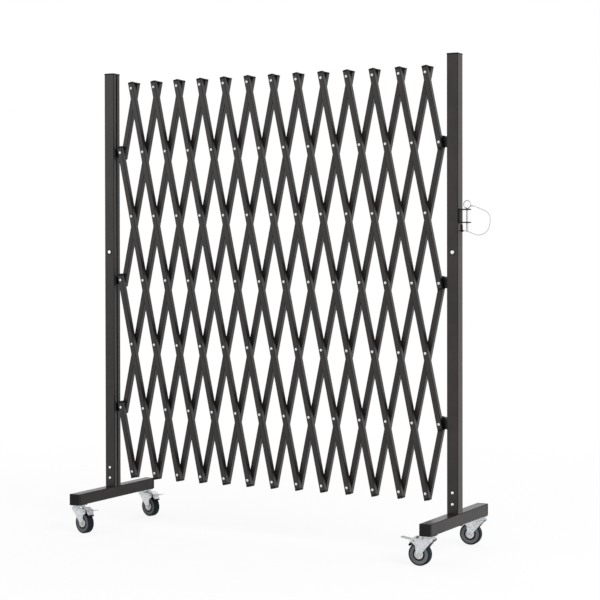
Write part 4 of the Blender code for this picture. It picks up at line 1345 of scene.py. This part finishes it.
def wheel_parts():
    """The turned parts of a wheel: part, finish and half profile of radius and half width."""
    tread = [(TYRE_SIDE_RADIUS, TYRE_HALF - FINE_EDGE)]
    for angle in quarter_turn(CORNER_STEPS):
        radius = WHEEL_RADIUS - TYRE_SHOULDER + TYRE_SHOULDER * math.sin(angle)
        tread.append((radius, TYRE_HALF - TYRE_SHOULDER + TYRE_SHOULDER * math.cos(angle)))
    side = [
        (WHEEL_RING_RADIUS, TYRE_HALF - WHEEL_RING_DEPTH * 2), (WHEEL_RING_RADIUS, TYRE_HALF - FINE_EDGE),
        (WHEEL_RING_RADIUS + FINE_EDGE, TYRE_HALF), (TYRE_INNER_RADIUS, TYRE_HALF + HAIR * 2),
        (TYRE_SIDE_RADIUS - FINE_EDGE, TYRE_HALF - HAIR),
        (TYRE_SIDE_RADIUS + FINE_EDGE, TYRE_HALF - FINE_EDGE * 2),
    ]
    inner = HUB_RADIUS - HUB_RIM
    ring = [
        (inner, TYRE_HALF - WHEEL_RING_DEPTH),
        (WHEEL_RING_RADIUS + FINE_EDGE, TYRE_HALF - WHEEL_RING_DEPTH),
    ]
    rim = [
        (inner - FINE_EDGE, HUB_HALF - HUB_DISH - FINE_EDGE * 2), (inner, HUB_HALF - HAIR * 2),
        (inner + HUB_RIM_EDGE, HUB_HALF), (HUB_RADIUS - HUB_RIM_EDGE, HUB_HALF),
        (HUB_RADIUS, HUB_HALF - HUB_RIM_EDGE), (HUB_RADIUS, HUB_HALF - HUB_DISH * 3),
    ]
    hub = [
        (HUB_BORE, HUB_HALF - HAIR), (HUB_BOSS_RADIUS, HUB_HALF - HAIR),
        (HUB_BOSS_FOOT, HUB_HALF - HUB_DISH), (inner + HAIR * 2, HUB_HALF - HUB_DISH),
    ]
    return (
        ("tread", "tyre_tread", tread),
        ("side", "tyre_side", side),
        ("ring", "wheel_ring", ring),
        ("hub_rim", "hub_rim", rim),
        ("hub", "hub", hub),
    )


def over_wheel(gap, degrees):
    """A point that far outside the tread, at an angle above the axle's level."""
    radius = WHEEL_RADIUS + gap
    angle = math.radians(degrees)
    return TRAIL + radius * math.cos(angle), WHEEL_RADIUS + radius * math.sin(angle)


def pedal_mesh(place):
    """A pressed toe pedal: curved plate with a round toe, two cheeks, a web and a boss on the pin."""
    curve = smooth_route([Vector((out, 0, height)) for out, height in PEDAL_CURVE], PEDAL_STEP)
    seat = PEDAL_THICKNESS / 2
    plate = []
    for index, point in enumerate(curve):
        ahead = heading(curve, index)
        down = Vector((ahead.z, 0, -ahead.x))
        left = max(curve[-1].x - point.x, 0) / PEDAL_TOE_LENGTH
        half = PEDAL_HALF_WIDTH
        if left < 1:
            half *= PEDAL_TOE_SHARE + (1 - PEDAL_TOE_SHARE) * math.sqrt(1 - (1 - left) ** 2)
        across = rounded(half, seat, PEDAL_ROUND, steps=PEDAL_ROUND_STEPS)
        plate.append([point + down * seat + Vector((0, y, 0)) + down * z for y, z in across])
    under = [(out, height - seat) for out, height in PEDAL_CURVE]
    rim = [over_wheel(SHOE_GAP + SHOE_THICKNESS - CHEEK_RIM, angle) for angle in CHEEK_ANGLES]
    heel = curve[0].x + CHEEK_HEEL
    cheek = [
        (heel, curve[0].z - seat), under[1], under[2], under[4], *rim,
        (PEDAL_PIVOT_OUT, PEDAL_PIVOT_HEIGHT - CHEEK_FOOT), (heel, PEDAL_PIVOT_HEIGHT),
    ]
    top, foot = under[4], rim[0]
    web = [top, foot, (foot[0] - CHEEK_THICKNESS, foot[1]), (top[0] - CHEEK_THICKNESS, top[1])]
    inner = PEDAL_HALF_WIDTH - CHEEK_THICKNESS
    outer = PEDAL_HALF_WIDTH - HAIR
    boss = [(CHEEK_FOOT, -PEDAL_HALF_WIDTH), (CHEEK_FOOT, PEDAL_HALF_WIDTH)]
    return shaped([
        plate,
        slab(cheek, HAIR - inner, -outer, "Y", SLIM_EDGE),
        slab(cheek, inner - HAIR, outer, "Y", SLIM_EDGE),
        slab(web, -inner, inner, "Y", HAIR * 2),
        turned(boss, ROUND_SIDES, "Y", (PEDAL_PIVOT_OUT, PEDAL_PIVOT_HEIGHT)),
    ], place)


def shoe_mesh(place):
    """The black brake pad, a band round the tread under the pedal's cheeks."""
    turn = SHOE_HIGH_ANGLE - SHOE_LOW_ANGLE
    angles = [SHOE_LOW_ANGLE + turn * count / SHOE_STEPS for count in range(SHOE_STEPS + 1)]
    inner = [over_wheel(SHOE_GAP, angle) for angle in angles]
    outer = [over_wheel(SHOE_GAP + SHOE_THICKNESS, angle) for angle in reversed(angles)]
    half = PEDAL_HALF_WIDTH - HAIR
    return shaped([slab(inner + outer, -half, half, "Y", SHOE_EDGE)], place)


def dress_casters():
    """The four casters: fork, wheel and brake pedal, each on its own body."""
    for end_name in ENDS:
        for side_name, _ in SIDES:
            corner = f"{end_name}_{side_name}"
            place = caster_place(corner)
            fork = f"caster_fork_{corner}"
            show(f"{fork}_pressing", fork_mesh(place), "zinc", fork, fork)
            show(f"{fork}_pins", fork_dark_mesh(place), "dark_steel", fork, fork)
            wheel = f"caster_wheel_{corner}"
            axle = place @ Matrix.Translation((TRAIL, 0, WHEEL_RADIUS))
            for part, finish, half in wheel_parts():
                profile = half + [(radius, -along) for radius, along in reversed(half)]
                mesh = shaped([], axle, hoops=[turned(profile, WHEEL_STEPS, "Y")])
                show(f"{wheel}_{part}", mesh, finish, wheel, wheel)
            pedal = f"brake_pedal_{corner}"
            show(f"{pedal}_plate", pedal_mesh(place), "zinc", pedal, pedal)
            show(f"{pedal}_shoe", shoe_mesh(place), "shoe", pedal, pedal)


# Floor and light

def seen_rays(tree):
    """One where a surface is seen by the eye, in metal or through glass, and nought where it only lights."""
    ray = add_node(tree, "ShaderNodeLightPath").outputs
    seen = ray["Is Camera Ray"]
    for kind in ("Is Glossy Ray", "Is Transmission Ray"):
        seen = maths(tree, "ADD", seen, ray[kind], use_clamp=True)
    return seen


def lay_floor():
    """A plain pale floor that fades into the white room and keeps the barrier's shadow."""
    half = FLOOR_REACH / 2
    mesh = bpy.data.meshes.new("floor")
    corners = [(-half, -half, 0), (half, -half, 0), (half, half, 0), (-half, half, 0)]
    mesh.from_pydata(corners, [], [(0, 1, 2, 3)])
    floor = in_scene("floor", mesh)
    finish = bpy.data.materials.new("pale_floor")
    finish.use_nodes = True
    tree = finish.node_tree
    tree.nodes.remove(tree.nodes["Principled BSDF"])
    plain = result(tree, "ShaderNodeBsdfDiffuse", {"Color": tint(FLOOR_WHITE)})
    white = result(tree, "ShaderNodeEmission", {"Color": tint(1.0), "Strength": 1.0})
    place = result(tree, "ShaderNodeTexCoord", port="Object")
    reach = result(tree, "ShaderNodeVectorMath", {0: place}, "Value", operation="LENGTH")
    glow = remap(tree, reach, FLOOR_FADE_START, FLOOR_FADE_END, FLOOR_GLOW_NEAR)
    share = maths(tree, "MULTIPLY", seen_rays(tree), glow)
    mix = result(tree, "ShaderNodeMixShader", {0: share, 1: plain, 2: white})
    tree.links.new(mix, tree.nodes["Material Output"].inputs["Surface"])
    mesh.materials.append(finish)


def light_room():
    """A white room for the eye, a soft even light on the barrier, and three soft lamps."""
    bpy.context.scene.view_settings.view_transform = "Standard"
    world = bpy.data.worlds.new("white_room")
    bpy.context.scene.world = world
    world.use_nodes = True
    tree = world.node_tree
    tree.nodes.clear()
    soft = result(tree, "ShaderNodeBackground", {"Color": tint(1.0), "Strength": ROOM_LIGHT})
    white = result(tree, "ShaderNodeBackground", {"Color": tint(1.0), "Strength": 1.0})
    mix = result(tree, "ShaderNodeMixShader", {0: seen_rays(tree), 1: soft, 2: white})
    add_node(tree, "ShaderNodeOutputWorld", {"Surface": mix}, is_active_output=True)
    for name, place, size, power in LAMPS:
        panel = bpy.data.lights.new(name, "AREA")
        panel.size = size
        panel.energy = power
        aim = (Vector(LIGHT_AIM) - Vector(place)).to_track_quat("-Z", "Y")
        in_scene(name, panel).matrix_world = Matrix.Translation(place) @ aim.to_matrix().to_4x4()


def dress_barrier():
    """Camera and lanyard first, then every piece of the barrier, then the room."""
    look_at_barrier()
    hang_lanyard(FINISHES["wire"])
    dress_lattice()
    dress_posts()
    dress_beams()
    dress_brackets()
    dress_latch()
    dress_casters()
    lay_floor()
    light_room()


dress_barrier()
